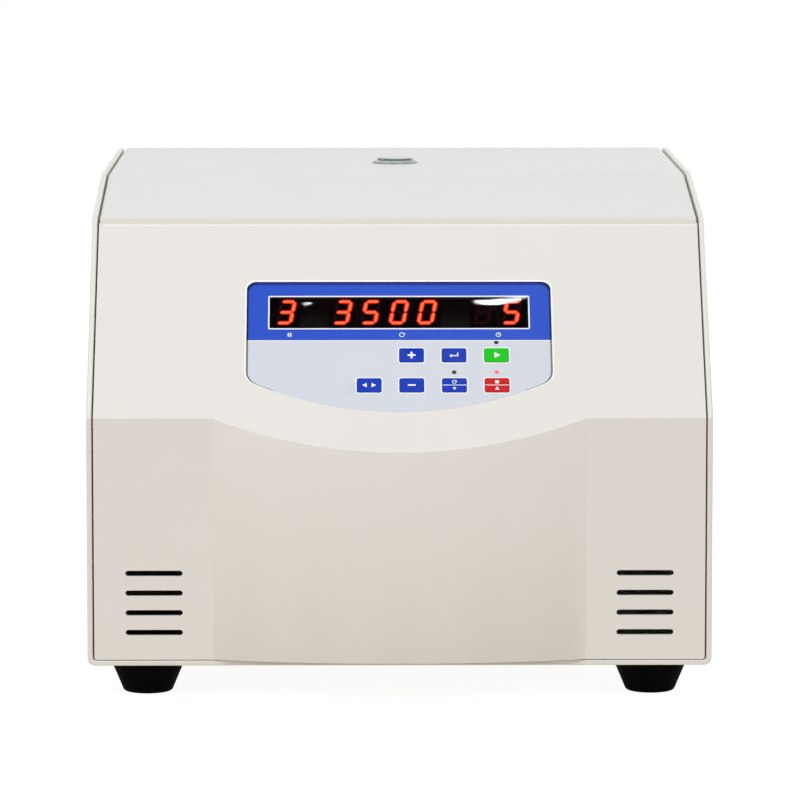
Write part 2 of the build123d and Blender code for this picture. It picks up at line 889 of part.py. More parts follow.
with BuildPart() as dampers:
    for place in damper_places.local_locations:
        centre = Vector(0, axis_y, base_top_z) + place.position
        section = Plane(origin=centre, x_dir=(1, 0, 0), z_dir=(0, -1, 0))
        with BuildSketch(section):
            with BuildLine():
                Polyline(
                    (damper_radius, damper_height),
                    (0, damper_height),
                    (0, 0),
                    (damper_radius, 0),
                )
                ThreePointArc(
                    (damper_radius, 0),
                    (damper_waist, damper_height / 2),
                    (damper_radius, damper_height),
                )
            make_face()
        revolve(axis=Axis(centre, (0, 0, 1)))
save(dampers, "dampers")

with BuildPart() as motor_plate:
    with BuildSketch(Plane.XY.offset(motor_plate_z)):
        with Locations((0, axis_y)):
            Circle(motor_radius + motor_plate_rim)
            with PolarLocations(damper_ring_radius, 3, start_angle=90):
                Circle(damper_radius + motor_plate_rim)
            Circle(shaft_radius + shaft_clearance, mode=Mode.SUBTRACT)
    extrude(amount=motor_plate_thickness)
save(motor_plate, "motor_plate")

floor_z = can_low + motor_wall
lower_bearing_z = floor_z
with BuildPart() as motor_housing:
    with BuildSketch(turning_plane):
        with BuildLine():
            Polyline(
                (shaft_radius + shaft_clearance, can_low),
                (motor_radius, can_low),
                (motor_radius, can_high),
                (motor_radius - motor_wall, can_high),
                (motor_radius - motor_wall, floor_z),
                (bearing_boss, floor_z),
                (bearing_boss, floor_z + bearing_width),
                (bearing_outer, floor_z + bearing_width),
                (bearing_outer, floor_z),
                (shaft_radius + shaft_clearance, floor_z),
                close=True,
            )
        make_face()
    revolve(axis=spindle)
save(motor_housing, "motor_housing")

upper_bearing_z = can_high
with BuildPart() as motor_cap:
    with BuildSketch(turning_plane):
        with BuildLine():
            Polyline(
                (bearing_outer, can_high),
                (motor_radius, can_high),
                (motor_radius, cap_top),
                (bearing_boss, cap_top),
                (bearing_boss, boss_top),
                (shaft_radius + shaft_clearance, boss_top),
                (shaft_radius + shaft_clearance, upper_bearing_z + bearing_width),
                (bearing_outer, upper_bearing_z + bearing_width),
                close=True,
            )
        make_face()
    revolve(axis=spindle)
save(motor_cap, "motor_cap")

with BuildPart() as bearings:
    for low in (lower_bearing_z, upper_bearing_z):
        with BuildSketch(Plane.XY.offset(base_z + low)):
            with Locations((0, axis_y)):
                Circle(bearing_outer)
                Circle(shaft_radius + shaft_fit, mode=Mode.SUBTRACT)
        extrude(amount=bearing_width)
save(bearings, "bearings")

core_low = floor_z + bearing_width + core_rise
with BuildPart() as motor_stator:
    with BuildSketch(Plane.XY.offset(base_z + core_low)):
        with Locations((0, axis_y)):
            Circle(motor_radius - motor_wall)
            Circle(core_radius + stator_gap, mode=Mode.SUBTRACT)
    extrude(amount=core_length)
save(motor_stator, "motor_stator")

with BuildPart() as motor_core:
    with BuildSketch(Plane.XY.offset(base_z + core_low)):
        with Locations((0, axis_y)):
            Circle(core_radius)
            Circle(shaft_radius, mode=Mode.SUBTRACT)
    extrude(amount=core_length)
save(motor_core, "motor_core")

head_top = pivot_height + head_above
with BuildPart() as drive_shaft:
    with BuildSketch(turning_plane):
        with BuildLine():
            Polyline(
                (0, can_low + shaft_end_gap),
                (shaft_radius, can_low + shaft_end_gap),
                (shaft_radius, bowl_floor),
                (shaft_upper_radius, bowl_floor + shaft_taper),
                (shaft_upper_radius, head_top + nut_thread_depth),
                (0, head_top + nut_thread_depth),
                close=True,
            )
        make_face()
    revolve(axis=spindle)
save(drive_shaft, "drive_shaft")

# Rubber boot between the motor cap and the chamber floor
bowl_under = bowl_floor - bowl_wall
with BuildPart() as shaft_boot:
    with BuildSketch(turning_plane):
        with BuildLine():
            Polyline(
                (bearing_boss, cap_top),
                (bearing_boss + boot_wall, cap_top),
                (bearing_boss + boot_wall, bowl_under - boot_wall / 2),
                (bearing_boss + 3 * boot_wall, bowl_under - boot_wall / 2),
                (bearing_boss + 3 * boot_wall, bowl_under),
                (bearing_boss, bowl_under),
                close=True,
            )
        make_face()
    revolve(axis=spindle)
save(shaft_boot, "shaft_boot")

# Rotor head: four arms between open slots, grooves that carry the trunnions, hub on the shaft
def pivot_plane(angle):
    """Plane at one bucket's pivot: x outward, y along the trunnions, z up."""
    outward = Vector(cos(radians(angle)), sin(radians(angle)), 0)
    centre = Vector(0, axis_y, pivot_z) + outward * pivot_radius
    return Plane(origin=centre, x_dir=outward, z_dir=(0, 0, 1))


bucket_angles = [n * 360 / bucket_count for n in range(bucket_count)]
slot_length_out = head_radius + bucket_radius
groove_reach = bucket_radius + trunnion_length + trunnion_end_gap
with BuildPart() as rotor_head:
    with BuildSketch(Plane.XY.offset(pivot_z + head_above)):
        with Locations((0, axis_y)):
            Circle(head_radius)
            with PolarLocations(arm_slot_inner + slot_length_out / 2, bucket_count):
                Rectangle(slot_length_out, 2 * arm_slot_half, mode=Mode.SUBTRACT)
    extrude(amount=-(head_above + head_below))
    upright_edges = rotor_head.edges().filter_by(Axis.Z).sort_by_distance((0, axis_y, pivot_z))
    fillet(upright_edges[: 2 * bucket_count], radius=arm_slot_round)
    top_edges = rotor_head.faces().sort_by(Axis.Z)[-1].edges()
    chamfer(top_edges, length=head_edge)
    with BuildSketch(turning_plane):
        with BuildLine():
            Polyline(
                (0, pivot_height - hub_below),
                (hub_low_radius, pivot_height - hub_below),
                (hub_radius, pivot_height - head_below),
                (hub_radius, pivot_height),
                (0, pivot_height),
                close=True,
            )
        make_face()
    revolve(axis=spindle)
    for angle in bucket_angles:
        pivot = pivot_plane(angle)
        with BuildSketch(Plane(origin=pivot.origin, x_dir=pivot.x_dir, z_dir=-pivot.y_dir)):
            Circle(trunnion_radius + trunnion_fit)
            with Locations((0, head_above)):
                Rectangle(2 * (trunnion_radius + trunnion_fit), 2 * head_above)
        extrude(amount=groove_reach, both=True, mode=Mode.SUBTRACT)
    with BuildSketch(Plane.XY.offset(pivot_z + head_above)):
        with Locations((0, axis_y)):
            Circle(shaft_upper_radius)
    extrude(amount=-(hub_below + head_above), mode=Mode.SUBTRACT)
save(rotor_head, "rotor_head")

with BuildPart() as rotor_nut:
    with BuildSketch(Plane.XY.offset(base_z + head_top)):
        with Locations((0, axis_y)):
            Circle(nut_radius)
            with PolarLocations(nut_radius + nut_grip_radius - nut_grip_depth, nut_grips):
                Circle(nut_grip_radius, mode=Mode.SUBTRACT)
    extrude(amount=nut_height)
    fillet(rotor_nut.faces().sort_by(Axis.Z)[-1].edges(), radius=nut_edge_round)
    with BuildSketch(Plane.XY.offset(base_z + head_top)):
        with Locations((0, axis_y)):
            Circle(shaft_upper_radius)
    extrude(amount=nut_thread_depth, mode=Mode.SUBTRACT)
save(rotor_nut, "rotor_nut")


def make_bucket(number, angle):
    """A swing bucket with its two trunnions, and the rubber cushion in its bottom."""
    pivot = pivot_plane(angle)
    section = Plane(origin=pivot.origin, x_dir=pivot.x_dir, z_dir=-pivot.y_dir)
    upright = Axis(pivot.origin, (0, 0, 1))
    inner = bucket_radius - bucket_wall
    inner_round = bucket_bottom_round - bucket_wall
    with BuildPart() as bucket:
        with BuildSketch(section):
            with BuildLine():
                FilletPolyline(
                    (0, -bucket_below),
                    (bucket_radius, -bucket_below),
                    (bucket_radius, -bucket_collar_height),
                    radius=bucket_bottom_round,
                )
                Polyline(
                    (bucket_radius, -bucket_collar_height),
                    (bucket_radius + bucket_collar, -bucket_collar_height + bucket_collar),
                    (bucket_radius + bucket_collar, bucket_above - bucket_collar),
                    (bucket_radius, bucket_above),
                    (0, bucket_above),
                    (0, -bucket_below),
                )
            make_face()
        revolve(axis=upright)
        with BuildSketch(section):
            Circle(trunnion_radius)
        extrude(amount=bucket_radius + trunnion_length, both=True)
        with BuildSketch(section):
            with BuildLine():
                FilletPolyline(
                    (0, bucket_wall - bucket_below),
                    (inner, bucket_wall - bucket_below),
                    (inner, bucket_above),
                    radius=inner_round,
                )
                Polyline((inner, bucket_above), (0, bucket_above), (0, bucket_wall - bucket_below))
            make_face()
        revolve(axis=upright, mode=Mode.SUBTRACT)
    save(bucket, f"bucket_{number}")
    with BuildPart() as cushion:
        with BuildSketch(section) as half:
            with Locations((0, bucket_wall - bucket_below)):
                Rectangle(inner - cushion_gap, cushion_height, align=(Align.MIN, Align.MIN))
            low_corner = half.vertices().sort_by_distance((inner, bucket_wall - bucket_below, 0))[0]
            chamfer(low_corner, length=inner_round)
        revolve(axis=upright)
    save(cushion, f"bucket_cushion_{number}")


for number, angle in enumerate(bucket_angles, start=1):
    make_bucket(number, angle)

# Lid lock: striker under the liner, and a solenoid that pushes its bolt through the striker's window
with BuildPart() as striker:
    with BuildSketch(Plane.XY.offset(liner_z)):
        with Locations((0, striker_y + striker_thickness / 2)):
            Rectangle(2 * (striker_half_width + striker_flange), striker_thickness + 2 * striker_flange)
    extrude(amount=-liner_thickness)
    with BuildSketch(Plane.XY.offset(liner_z)):
        with Locations((0, striker_y + striker_thickness / 2)):
            Rectangle(2 * striker_half_width, striker_thickness)
    extrude(amount=-striker_drop)
    fillet(striker.edges().filter_by(Axis.Y).group_by(Axis.Z)[0], radius=striker_thickness)
    with BuildSketch(Plane.XZ.offset(-striker_y)):
        with Locations((0, bolt_z)):
            Rectangle(striker_window, striker_window)
    extrude(amount=-striker_thickness, mode=Mode.SUBTRACT)
save(striker, "striker")

bolt_tip_y = striker_y - bolt_gap
solenoid_back_y = bolt_tip_y - solenoid_set_back
solenoid_front_y = solenoid_back_y - solenoid_length
solenoid_half_height = bolt_drop - lock_plate_thickness
collar_y = solenoid_front_y - bolt_travel - bolt_collar_gap
with BuildPart() as lock_bracket:
    with BuildSketch(Plane.XY.offset(deck_z - deck_wall)):
        with Locations((0, (solenoid_front_y + solenoid_back_y) / 2)):
            RectangleRounded(2 * (solenoid_half_width + lock_plate_side), solenoid_length, lock_plate_round)
    extrude(amount=-lock_plate_thickness)
save(lock_bracket, "lock_bracket")

with BuildPart() as lock_solenoid:
    with BuildSketch(Plane.YZ):
        with Locations(((solenoid_front_y + solenoid_back_y) / 2, bolt_z)):
            Rectangle(solenoid_length, 2 * solenoid_half_height)
            Rectangle(
                solenoid_length - 2 * solenoid_frame,
                2 * (solenoid_half_height - solenoid_frame),
                mode=Mode.SUBTRACT,
            )
    extrude(amount=solenoid_half_width, both=True)
    with BuildSketch(Plane.XZ.offset(-solenoid_front_y)):
        with Locations((0, bolt_z)):
            Circle(solenoid_half_height - solenoid_frame - coil_gap)
    extrude(amount=-solenoid_length)
    with BuildSketch(Plane.XZ.offset(-solenoid_front_y)):
        with Locations((0, bolt_z)):
            Circle(bolt_radius + bolt_fit)
    extrude(amount=-solenoid_length, mode=Mode.SUBTRACT)
save(lock_solenoid, "lock_solenoid")

with BuildPart() as lock_bolt:
    with BuildSketch(Plane.XZ.offset(-bolt_tip_y)):
        with Locations((0, bolt_z)):
            Circle(bolt_radius)
    extrude(amount=bolt_tip_y - collar_y + bolt_collar_length)
    chamfer(lock_bolt.faces().sort_by(Axis.Y)[-1].edges(), length=bolt_tip_chamfer)
    with BuildSketch(Plane.XZ.offset(-collar_y)):
        with Locations((0, bolt_z)):
            Circle(bolt_radius + bolt_collar)
    extrude(amount=bolt_collar_length)
save(lock_bolt, "lock_bolt")

# Hinges: knuckles turn on a pin, one leaf on the rear panel and one on the lid
knuckle_pitch = 2 * hinge_half_length / 5


def knuckles(middle, orders):
    """Start and end along X of the numbered knuckles of one hinge."""
    first = middle - hinge_half_length + hinge_knuckle_gap / 2
    starts = [first + n * knuckle_pitch for n in orders]
    return [(start, start + knuckle_pitch - hinge_knuckle_gap) for start in starts]


def leaf(plate_y, up, orders, bore):
    """Both leaves of one kind: flat plate, tabs to its knuckles, and the knuckles themselves."""
    clear = up * (hinge_radius + hinge_leaf_clear)
    with BuildPart() as leaves:
        for middle in hinge_middles:
            with BuildSketch(Plane.XZ.offset(-plate_y)):
                with Locations((middle, hinge_z + (clear + up * hinge_leaf_height) / 2)):
                    Rectangle(2 * hinge_half_length, hinge_leaf_height - abs(clear))
            extrude(amount=-hinge_leaf_thickness)
            for start, end in knuckles(middle, orders):
                with BuildSketch(Plane.YZ.offset(start)):
                    with Locations((plate_y + hinge_leaf_thickness / 2, hinge_z + clear / 2)):
                        Rectangle(hinge_leaf_thickness, abs(clear))
                    with Locations((hinge_y, hinge_z)):
                        Circle(hinge_radius)
                        Circle(bore, mode=Mode.SUBTRACT)
                extrude(amount=end - start)
            with BuildSketch(Plane.XZ.offset(-plate_y)):
                with Locations((middle, hinge_z + up * hinge_screw_rise)):
                    with GridLocations(hinge_half_length, 1, 2, 1):
                        Circle(hinge_screw_radius)
            extrude(amount=-hinge_leaf_thickness, mode=Mode.SUBTRACT)
    return leaves


def leaf_screws(plate_y, up):
    """Four screws that hold two leaves, head outside, shank through leaf and wall."""
    with BuildPart() as screws:
        for middle in hinge_middles:
            with BuildSketch(Plane.XZ.offset(-plate_y - hinge_leaf_thickness)):
                with Locations((middle, hinge_z + up * hinge_screw_rise)):
                    with GridLocations(hinge_half_length, 1, 2, 1):
                        Circle(hinge_screw_radius)
            extrude(amount=hinge_leaf_thickness + rear_wall)
            with BuildSketch(Plane.XZ.offset(-plate_y - hinge_leaf_thickness)):
                with Locations((middle, hinge_z + up * hinge_screw_rise)):
                    with GridLocations(hinge_half_length, 1, 2, 1):
                        Circle(hinge_screw_head)
            extrude(amount=-hinge_screw_head_height)
    return screws


hinge_body_leaves = leaf(rear_panel_y, -1, (0, 2, 4), hinge_pin_radius)
save(hinge_body_leaves, "hinge_body_leaves")
hinge_lid_leaves = leaf(lid_back_y, 1, (1, 3), hinge_pin_radius + hinge_fit)
save(hinge_lid_leaves, "hinge_lid_leaves")
hinge_body_screws = leaf_screws(rear_panel_y, -1)
save(hinge_body_screws, "hinge_body_screws")
hinge_lid_screws = leaf_screws(lid_back_y, 1)
save(hinge_lid_screws, "hinge_lid_screws")

with BuildPart() as hinge_pins:
    for middle in hinge_middles:
        with BuildSketch(Plane.YZ.offset(middle)):
            with Locations((hinge_y, hinge_z)):
                Circle(hinge_pin_radius)
        extrude(amount=hinge_half_length, both=True)
        for side in (-1, 1):
            with BuildSketch(Plane.YZ.offset(middle + side * hinge_half_length)):
                with Locations((hinge_y, hinge_z)):
                    Circle(hinge_pin_radius + hinge_pin_head)
            extrude(amount=side * hinge_pin_head)
save(hinge_pins, "hinge_pins")

# Rear panel with vents, inlet and switch
inlet_z = base_z + inlet_height
switch_z = base_z + switch_height
rocker_reach = switch_half_width - switch_gap + rocker_pin_length
switch_cut_width = 2 * (switch_half_width + switch_wall)
switch_cut_height = 2 * (switch_half_height + switch_wall)
with BuildPart() as rear_panel:
    with BuildSketch(Plane.XZ.offset(-rear_panel_y)):
        with Locations((0, inside_z)):
            Rectangle(2 * inside_x, deck_z + rear_panel_rise - inside_z, align=(Align.CENTER, Align.MIN))
        with Locations((vent_middle_x, base_z + vent_middle_height)):
            with GridLocations(vent_column_pitch, vent_pitch, 2, vent_rows):
                SlotOverall(vent_length, vent_height, mode=Mode.SUBTRACT)
        with Locations((inlet_x, inlet_z)):
            Rectangle(2 * inlet_half_width, 2 * inlet_half_height, mode=Mode.SUBTRACT)
        with Locations((switch_x, switch_z)):
            Rectangle(switch_cut_width, switch_cut_height, mode=Mode.SUBTRACT)
        for middle in hinge_middles:
            with Locations((middle, hinge_z - hinge_screw_rise)):
                with GridLocations(hinge_half_length, 1, 2, 1):
                    Circle(hinge_screw_radius, mode=Mode.SUBTRACT)
    extrude(amount=rear_wall)
    fillet(rear_panel.edges().filter_by(Axis.Y).group_by(Axis.Z)[0], radius=inside_corner)
    for side in (-1, 1):
        with BuildSketch(Plane.XY.offset(inside_z + inside_corner)):
            with Locations((side * (inside_x - rear_wall / 2), deck_back_y - rear_flange / 2)):
                Rectangle(rear_wall, rear_flange)
        extrude(amount=deck_z - deck_wall - inside_z - inside_corner)
    for side, y, z in rear_screws:
        with BuildSketch(Plane(origin=(side * inside_x, y, z), z_dir=(-side, 0, 0))):
            Circle(screw_radius)
        extrude(amount=rear_wall, mode=Mode.SUBTRACT)
save(rear_panel, "rear_panel")

with BuildPart() as mains_inlet:
    with BuildSketch(Plane.XZ.offset(-rear_panel_y)):
        with Locations((inlet_x, inlet_z)):
            RectangleRounded(
                2 * (inlet_half_width + inlet_flange),
                2 * inlet_half_height + inlet_flange,
                inlet_flange_round,
            )
    extrude(amount=-inlet_flange_thickness)
    with BuildSketch(Plane.XZ.offset(-rear_panel_y)):
        with Locations((inlet_x, inlet_z)):
            Rectangle(2 * inlet_half_width, 2 * inlet_half_height)
    extrude(amount=inlet_recess + inlet_back)
    with BuildSketch(Plane.XZ.offset(-rear_panel_y - inlet_flange_thickness)) as socket:
        with Locations((inlet_x, inlet_z)):
            Rectangle(2 * (inlet_half_width - inlet_wall), 2 * (inlet_half_height - inlet_wall))
        chamfer(socket.vertices().group_by(Axis.Y)[-1], length=inlet_key_chamfer)
    extrude(amount=inlet_recess + inlet_flange_thickness, mode=Mode.SUBTRACT)
save(mains_inlet, "mains_inlet")

with BuildPart() as inlet_pins:
    with BuildSketch(Plane.XZ.offset(-rear_panel_y + inlet_recess)):
        with Locations((inlet_x, inlet_z - pin_drop)):
            with GridLocations(pin_spread, 1, 2, 1):
                Rectangle(pin_width, pin_height)
        with Locations((inlet_x, inlet_z + pin_middle_rise)):
            Rectangle(pin_width, pin_height)
    extrude(amount=pin_short - inlet_recess)
save(inlet_pins, "inlet_pins")

with BuildPart() as switch_frame:
    with BuildSketch(Plane.XZ.offset(-rear_panel_y)):
        with Locations((switch_x, switch_z)):
            RectangleRounded(
                switch_cut_width + 2 * switch_flange,
                switch_cut_height + 2 * switch_flange,
                switch_flange,
            )
    extrude(amount=-inlet_flange_thickness)
    with BuildSketch(Plane.XZ.offset(-rear_panel_y)):
        with Locations((switch_x, switch_z)):
            Rectangle(switch_cut_width, switch_cut_height)
    extrude(amount=rocker_depth + switch_wall)
    with BuildSketch(Plane.XZ.offset(-rear_panel_y - inlet_flange_thickness)):
        with Locations((switch_x, switch_z)):
            Rectangle(2 * switch_half_width, 2 * switch_half_height)
    extrude(amount=rocker_depth + inlet_flange_thickness, mode=Mode.SUBTRACT)
    with BuildSketch(Plane.YZ.offset(switch_x)):
        with Locations((rear_panel_y, switch_z)):
            Circle(switch_pin_radius + shaft_fit)
    extrude(amount=rocker_reach + switch_pin_end_gap, both=True, mode=Mode.SUBTRACT)
save(switch_frame, "switch_frame")

rocker_turn = radians(-rocker_tilt)
rocker_plane = Plane(
    origin=(switch_x, rear_panel_y, switch_z),
    x_dir=(0, cos(rocker_turn), sin(rocker_turn)),
    z_dir=(1, 0, 0),
)
rocker_half = switch_half_height - rocker_end_gap
rocker_inner = rocker_under - rocker_depth
with BuildPart() as switch_rocker:
    with BuildSketch(rocker_plane):
        Polygon(
            (rocker_proud + rocker_hollow, rocker_half),
            (rocker_proud, 0),
            (rocker_proud + rocker_hollow, -rocker_half),
            (rocker_inner, rocker_slant - rocker_half),
            (rocker_inner, rocker_half - rocker_slant),
            align=None,
        )
    extrude(amount=switch_half_width - switch_gap, both=True)
    with BuildSketch(rocker_plane):
        Circle(switch_pin_radius)
    extrude(amount=rocker_reach, both=True)
save(switch_rocker, "switch_rocker")

# Countersunk screws that hold the rear panel and the deck between the sides
with BuildPart() as case_screws:
    for side, y, z in rear_screws + deck_screws:
        head = Plane(origin=(side * width / 2, y, z), x_dir=(0, side, 0), z_dir=(side, 0, 0))
        with BuildSketch(head):
            Circle(screw_head_radius)
        extrude(amount=screw_radius - screw_head_radius, taper=45)
        with BuildSketch(head):
            Circle(screw_radius)
        extrude(amount=-screw_length)
save(case_screws, "case_screws")

# Power board on the base plate: transformer, two capacitors, finned heat sink and terminals
power_middle_y = front_y + power_from_front
power_top_z = base_top_z + power_rise + board_thickness
with BuildPart() as power_board:
    with BuildSketch(Plane.XY.offset(base_top_z)):
        with Locations((0, power_middle_y)):
            with GridLocations(power_length - 2 * power_inset, power_depth - 2 * power_inset, 2, 2):
                Circle(standoff_radius)
    extrude(amount=power_rise)
    with BuildSketch(Plane.XY.offset(base_top_z + power_rise)):
        with Locations((0, power_middle_y)):
            Rectangle(power_length, power_depth)
    extrude(amount=board_thickness)
    with BuildSketch(Plane.XY.offset(power_top_z)):
        with Locations((0, power_middle_y)):
            with Locations(transformer_place):
                RectangleRounded(transformer_length, transformer_depth, transformer_round)
    extrude(amount=transformer_height)
    with BuildSketch(Plane.XY.offset(power_top_z)):
        with Locations((0, power_middle_y)):
            with Locations(*capacitor_places):
                Circle(capacitor_radius)
    extrude(amount=capacitor_height)
    with BuildSketch(Plane.XY.offset(power_top_z)):
        with Locations((0, power_middle_y)):
            with Locations(sink_place):
                Rectangle(sink_length, sink_thickness)
                with GridLocations(fin_pitch, 1, fin_count, 1):
                    Rectangle(fin_thickness, fin_depth)
    extrude(amount=sink_height)
    with BuildSketch(Plane.XY.offset(power_top_z)):
        with Locations((0, power_middle_y)):
            with Locations(terminal_place):
                Rectangle(terminal_length, terminal_depth)
    extrude(amount=terminal_height)
save(power_board, "power_board")

print(len(written), "pieces written")
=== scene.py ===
"""Bench centrifuge: finishes, printed marks, painted shade and highlights, lit digits, floor, lamps and
camera.
"""
import json
from math import cos, pi, radians, sin, tan

import bpy
from mathutils import Matrix, Vector


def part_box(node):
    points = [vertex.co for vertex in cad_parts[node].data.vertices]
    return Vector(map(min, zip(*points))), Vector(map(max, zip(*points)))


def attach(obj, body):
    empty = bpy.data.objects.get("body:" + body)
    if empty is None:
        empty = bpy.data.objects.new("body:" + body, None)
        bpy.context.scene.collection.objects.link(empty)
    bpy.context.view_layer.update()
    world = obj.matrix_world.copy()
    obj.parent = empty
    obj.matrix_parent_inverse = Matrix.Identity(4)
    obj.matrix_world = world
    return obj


MM = 0.001

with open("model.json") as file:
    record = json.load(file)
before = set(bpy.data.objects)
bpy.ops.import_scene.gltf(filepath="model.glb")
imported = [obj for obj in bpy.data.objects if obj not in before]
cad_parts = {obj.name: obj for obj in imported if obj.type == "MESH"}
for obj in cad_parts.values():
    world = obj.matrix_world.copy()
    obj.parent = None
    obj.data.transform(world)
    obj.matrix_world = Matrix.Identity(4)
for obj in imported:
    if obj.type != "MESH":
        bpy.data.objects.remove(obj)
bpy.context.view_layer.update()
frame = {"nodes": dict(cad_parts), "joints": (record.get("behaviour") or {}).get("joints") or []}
nodes = frame["nodes"]


# Colours and node helpers

EVEN = (1, 1, 1)
MIX_COLOURS = (6, 7)  # a mix node has its two colours at these places among its inputs
MIX_RESULT = 2


def srgb(red, green, blue):
    """Linear colour from screen values of 0 to 255."""
    shares = [value / 255 for value in (red, green, blue)]
    return tuple(s / 12.92 if s <= 0.04045 else ((s + 0.055) / 1.055) ** 2.4 for s in shares)


def scaled(colour, factor):
    """The colour made lighter or darker by a factor."""
    return tuple(min(1.0, part * factor) for part in colour)


def new_object(name, data):
    """A mesh, lamp or camera as an object in the scene."""
    thing = bpy.data.objects.new(name, data)
    bpy.context.scene.collection.objects.link(thing)
    return thing


def add(tree, kind, inputs=(), **settings):
    """A node with its settings, and its inputs given as values or as sockets to link."""
    node = tree.nodes.new(kind)
    for key, value in settings.items():
        setattr(node, key, value)
    for key, value in dict(inputs).items():
        if isinstance(value, bpy.types.NodeSocket):
            tree.links.new(value, node.inputs[key])
        else:
            node.inputs[key].default_value = value
    return node


def maths(tree, operation, *values):
    """The result of an operation on numbers."""
    return add(tree, "ShaderNodeMath", enumerate(values), operation=operation).outputs[0]


def vector_maths(tree, operation, *values):
    """The node of an operation on vectors."""
    return add(tree, "ShaderNodeVectorMath", enumerate(values), operation=operation)


def place(tree, stretch=EVEN, centre=(0, 0, 0)):
    """Object-space position, moved to a centre and stretched."""
    position = add(tree, "ShaderNodeTexCoord").outputs["Object"]
    moved = vector_maths(tree, "SUBTRACT", position, centre).outputs[0]
    return vector_maths(tree, "MULTIPLY", moved, stretch).outputs[0]


def noise(tree, size, stretch=EVEN):
    """Noise whose patches have a real size."""
    inputs = {"Vector": place(tree, stretch), "Scale": 1 / size, "Detail": 3.0, "Roughness": 0.55}
    return add(tree, "ShaderNodeTexNoise", inputs).outputs["Fac"]


def blend(tree, factor, low, high):
    """Colour between two colours or sockets."""
    node = add(tree, "ShaderNodeMix", {0: factor}, data_type="RGBA")
    for index, colour in zip(MIX_COLOURS, (low, high)):
        if isinstance(colour, bpy.types.NodeSocket):
            tree.links.new(colour, node.inputs[index])
        else:
            node.inputs[index].default_value = (*colour, 1)
    return node.outputs[MIX_RESULT]


def between(tree, value, low, high):
    """A 0 to 1 value spread over a range."""
    return add(tree, "ShaderNodeMapRange", {"Value": value, "To Min": low, "To Max": high}).outputs[0]


def bump(tree, height, depth, under=None):
    """Normal of a relief with a real depth, on top of another."""
    inputs = {"Height": height, "Distance": depth, "Strength": 1.0}
    if under is not None:
        inputs["Normal"] = under
    return add(tree, "ShaderNodeBump", inputs).outputs[0]


def parts_of(material):
    """A material's node tree and its shader."""
    return material.node_tree, material.node_tree.nodes["Principled BSDF"]


def new_material(name, **sockets):
    """A material, its tree and its shader, with plain values set on the shader's own sockets."""
    material = bpy.data.materials.new(name)
    material.use_nodes = True
    tree, shader = parts_of(material)
    for key, value in sockets.items():
        socket = shader.inputs[key.replace("_", " ")]
        socket.default_value = (*value, 1) if isinstance(value, tuple) else value
    return material, tree, shader


def finish(name, colour, rough, drift, drift_size=50 * MM, rough_drift=0.05, relief=(), **sockets):
    """A surface whose colour and roughness drift, with layers of relief: size, depth, stretch."""
    material, tree, shader = new_material(name, **sockets)
    patches = noise(tree, drift_size)
    shades = blend(tree, patches, scaled(colour, 1 - drift), scaled(colour, 1 + drift))
    tree.links.new(shades, shader.inputs["Base Color"])
    polish = between(tree, noise(tree, drift_size / 3), rough - rough_drift, rough + rough_drift)
    tree.links.new(polish, shader.inputs["Roughness"])
    normal = None
    for size, depth, stretch in relief:
        normal = bump(tree, noise(tree, size, stretch), depth, normal)
    if normal is not None:
        tree.links.new(normal, shader.inputs["Normal"])
    return material


# Kinds of finish

SPINDLE = tuple((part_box("chamber_bowl")[0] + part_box("chamber_bowl")[1]) / 2)
HIGHLIGHT_SIDE = 169 * MM  # the panel's bevelled edges carry a painted highlight further out than this
HIGHLIGHT_LEVEL = 160.5 * MM  # and above the crease under its tilted face
CORE_SHEET = 0.5 * MM
WAVE_RATE = 20  # a wave texture repeats this many times as fast as its scale says


def moulded(name, colour, rough, shine=0.5, grain=0.5 * MM):
    """Moulded plastic with a fine spark-eroded grain."""
    relief = [(grain, 0.012 * MM, EVEN), (6 * MM, 0.01 * MM, EVEN)]
    return finish(name, colour, rough, drift=0.012, relief=relief, Specular_IOR_Level=shine)


def panel_highlight(name, plain, edge):
    """Moulded plastic with a painted highlight: paler on its bevelled edges near the panel's sides and
    above its crease.
    """
    material = moulded(name, edge, rough=0.4, shine=0.4)
    tree, shader = parts_of(material)
    spot = add(tree, "ShaderNodeSeparateXYZ", {0: place(tree)})
    at_side = maths(tree, "GREATER_THAN", maths(tree, "ABSOLUTE", spot.outputs["X"]), HIGHLIGHT_SIDE)
    above = maths(tree, "GREATER_THAN", spot.outputs["Z"], HIGHLIGHT_LEVEL)
    pale = maths(tree, "MAXIMUM", at_side, above)
    tree.links.new(blend(tree, pale, plain, edge), shader.inputs["Base Color"])
    return material


def powder_coat(name, colour):
    """Powder-coated sheet: a soft orange peel with fine specks."""
    relief = [(1.6 * MM, 0.035 * MM, EVEN), (0.35 * MM, 0.006 * MM, EVEN)]
    return finish(name, colour, 0.4, drift=0.015, relief=relief)


def rubber(name, colour):
    """Rubber with a dull, dusty, slightly pitted skin."""
    relief = [(0.8 * MM, 0.04 * MM, EVEN), (4 * MM, 0.05 * MM, EVEN)]
    return finish(
        name, colour, 0.75, drift=0.25, drift_size=6 * MM, relief=relief, Specular_IOR_Level=0.02
    )


def brushed(name, colour, rough=0.32, along=0):
    """Sheet metal with straight brush lines along one axis."""
    stretch = tuple(0.02 if axis == along else 1 for axis in range(3))
    relief = [(0.25 * MM, 0.01 * MM, stretch)]
    material = finish(name, colour, rough, drift=0.04, drift_size=20 * MM, relief=relief, Metallic=1.0)
    tree, shader = parts_of(material)
    lines = noise(tree, 0.4 * MM, stretch)
    tree.links.new(between(tree, lines, rough - 0.1, rough + 0.14), shader.inputs["Roughness"])
    return material


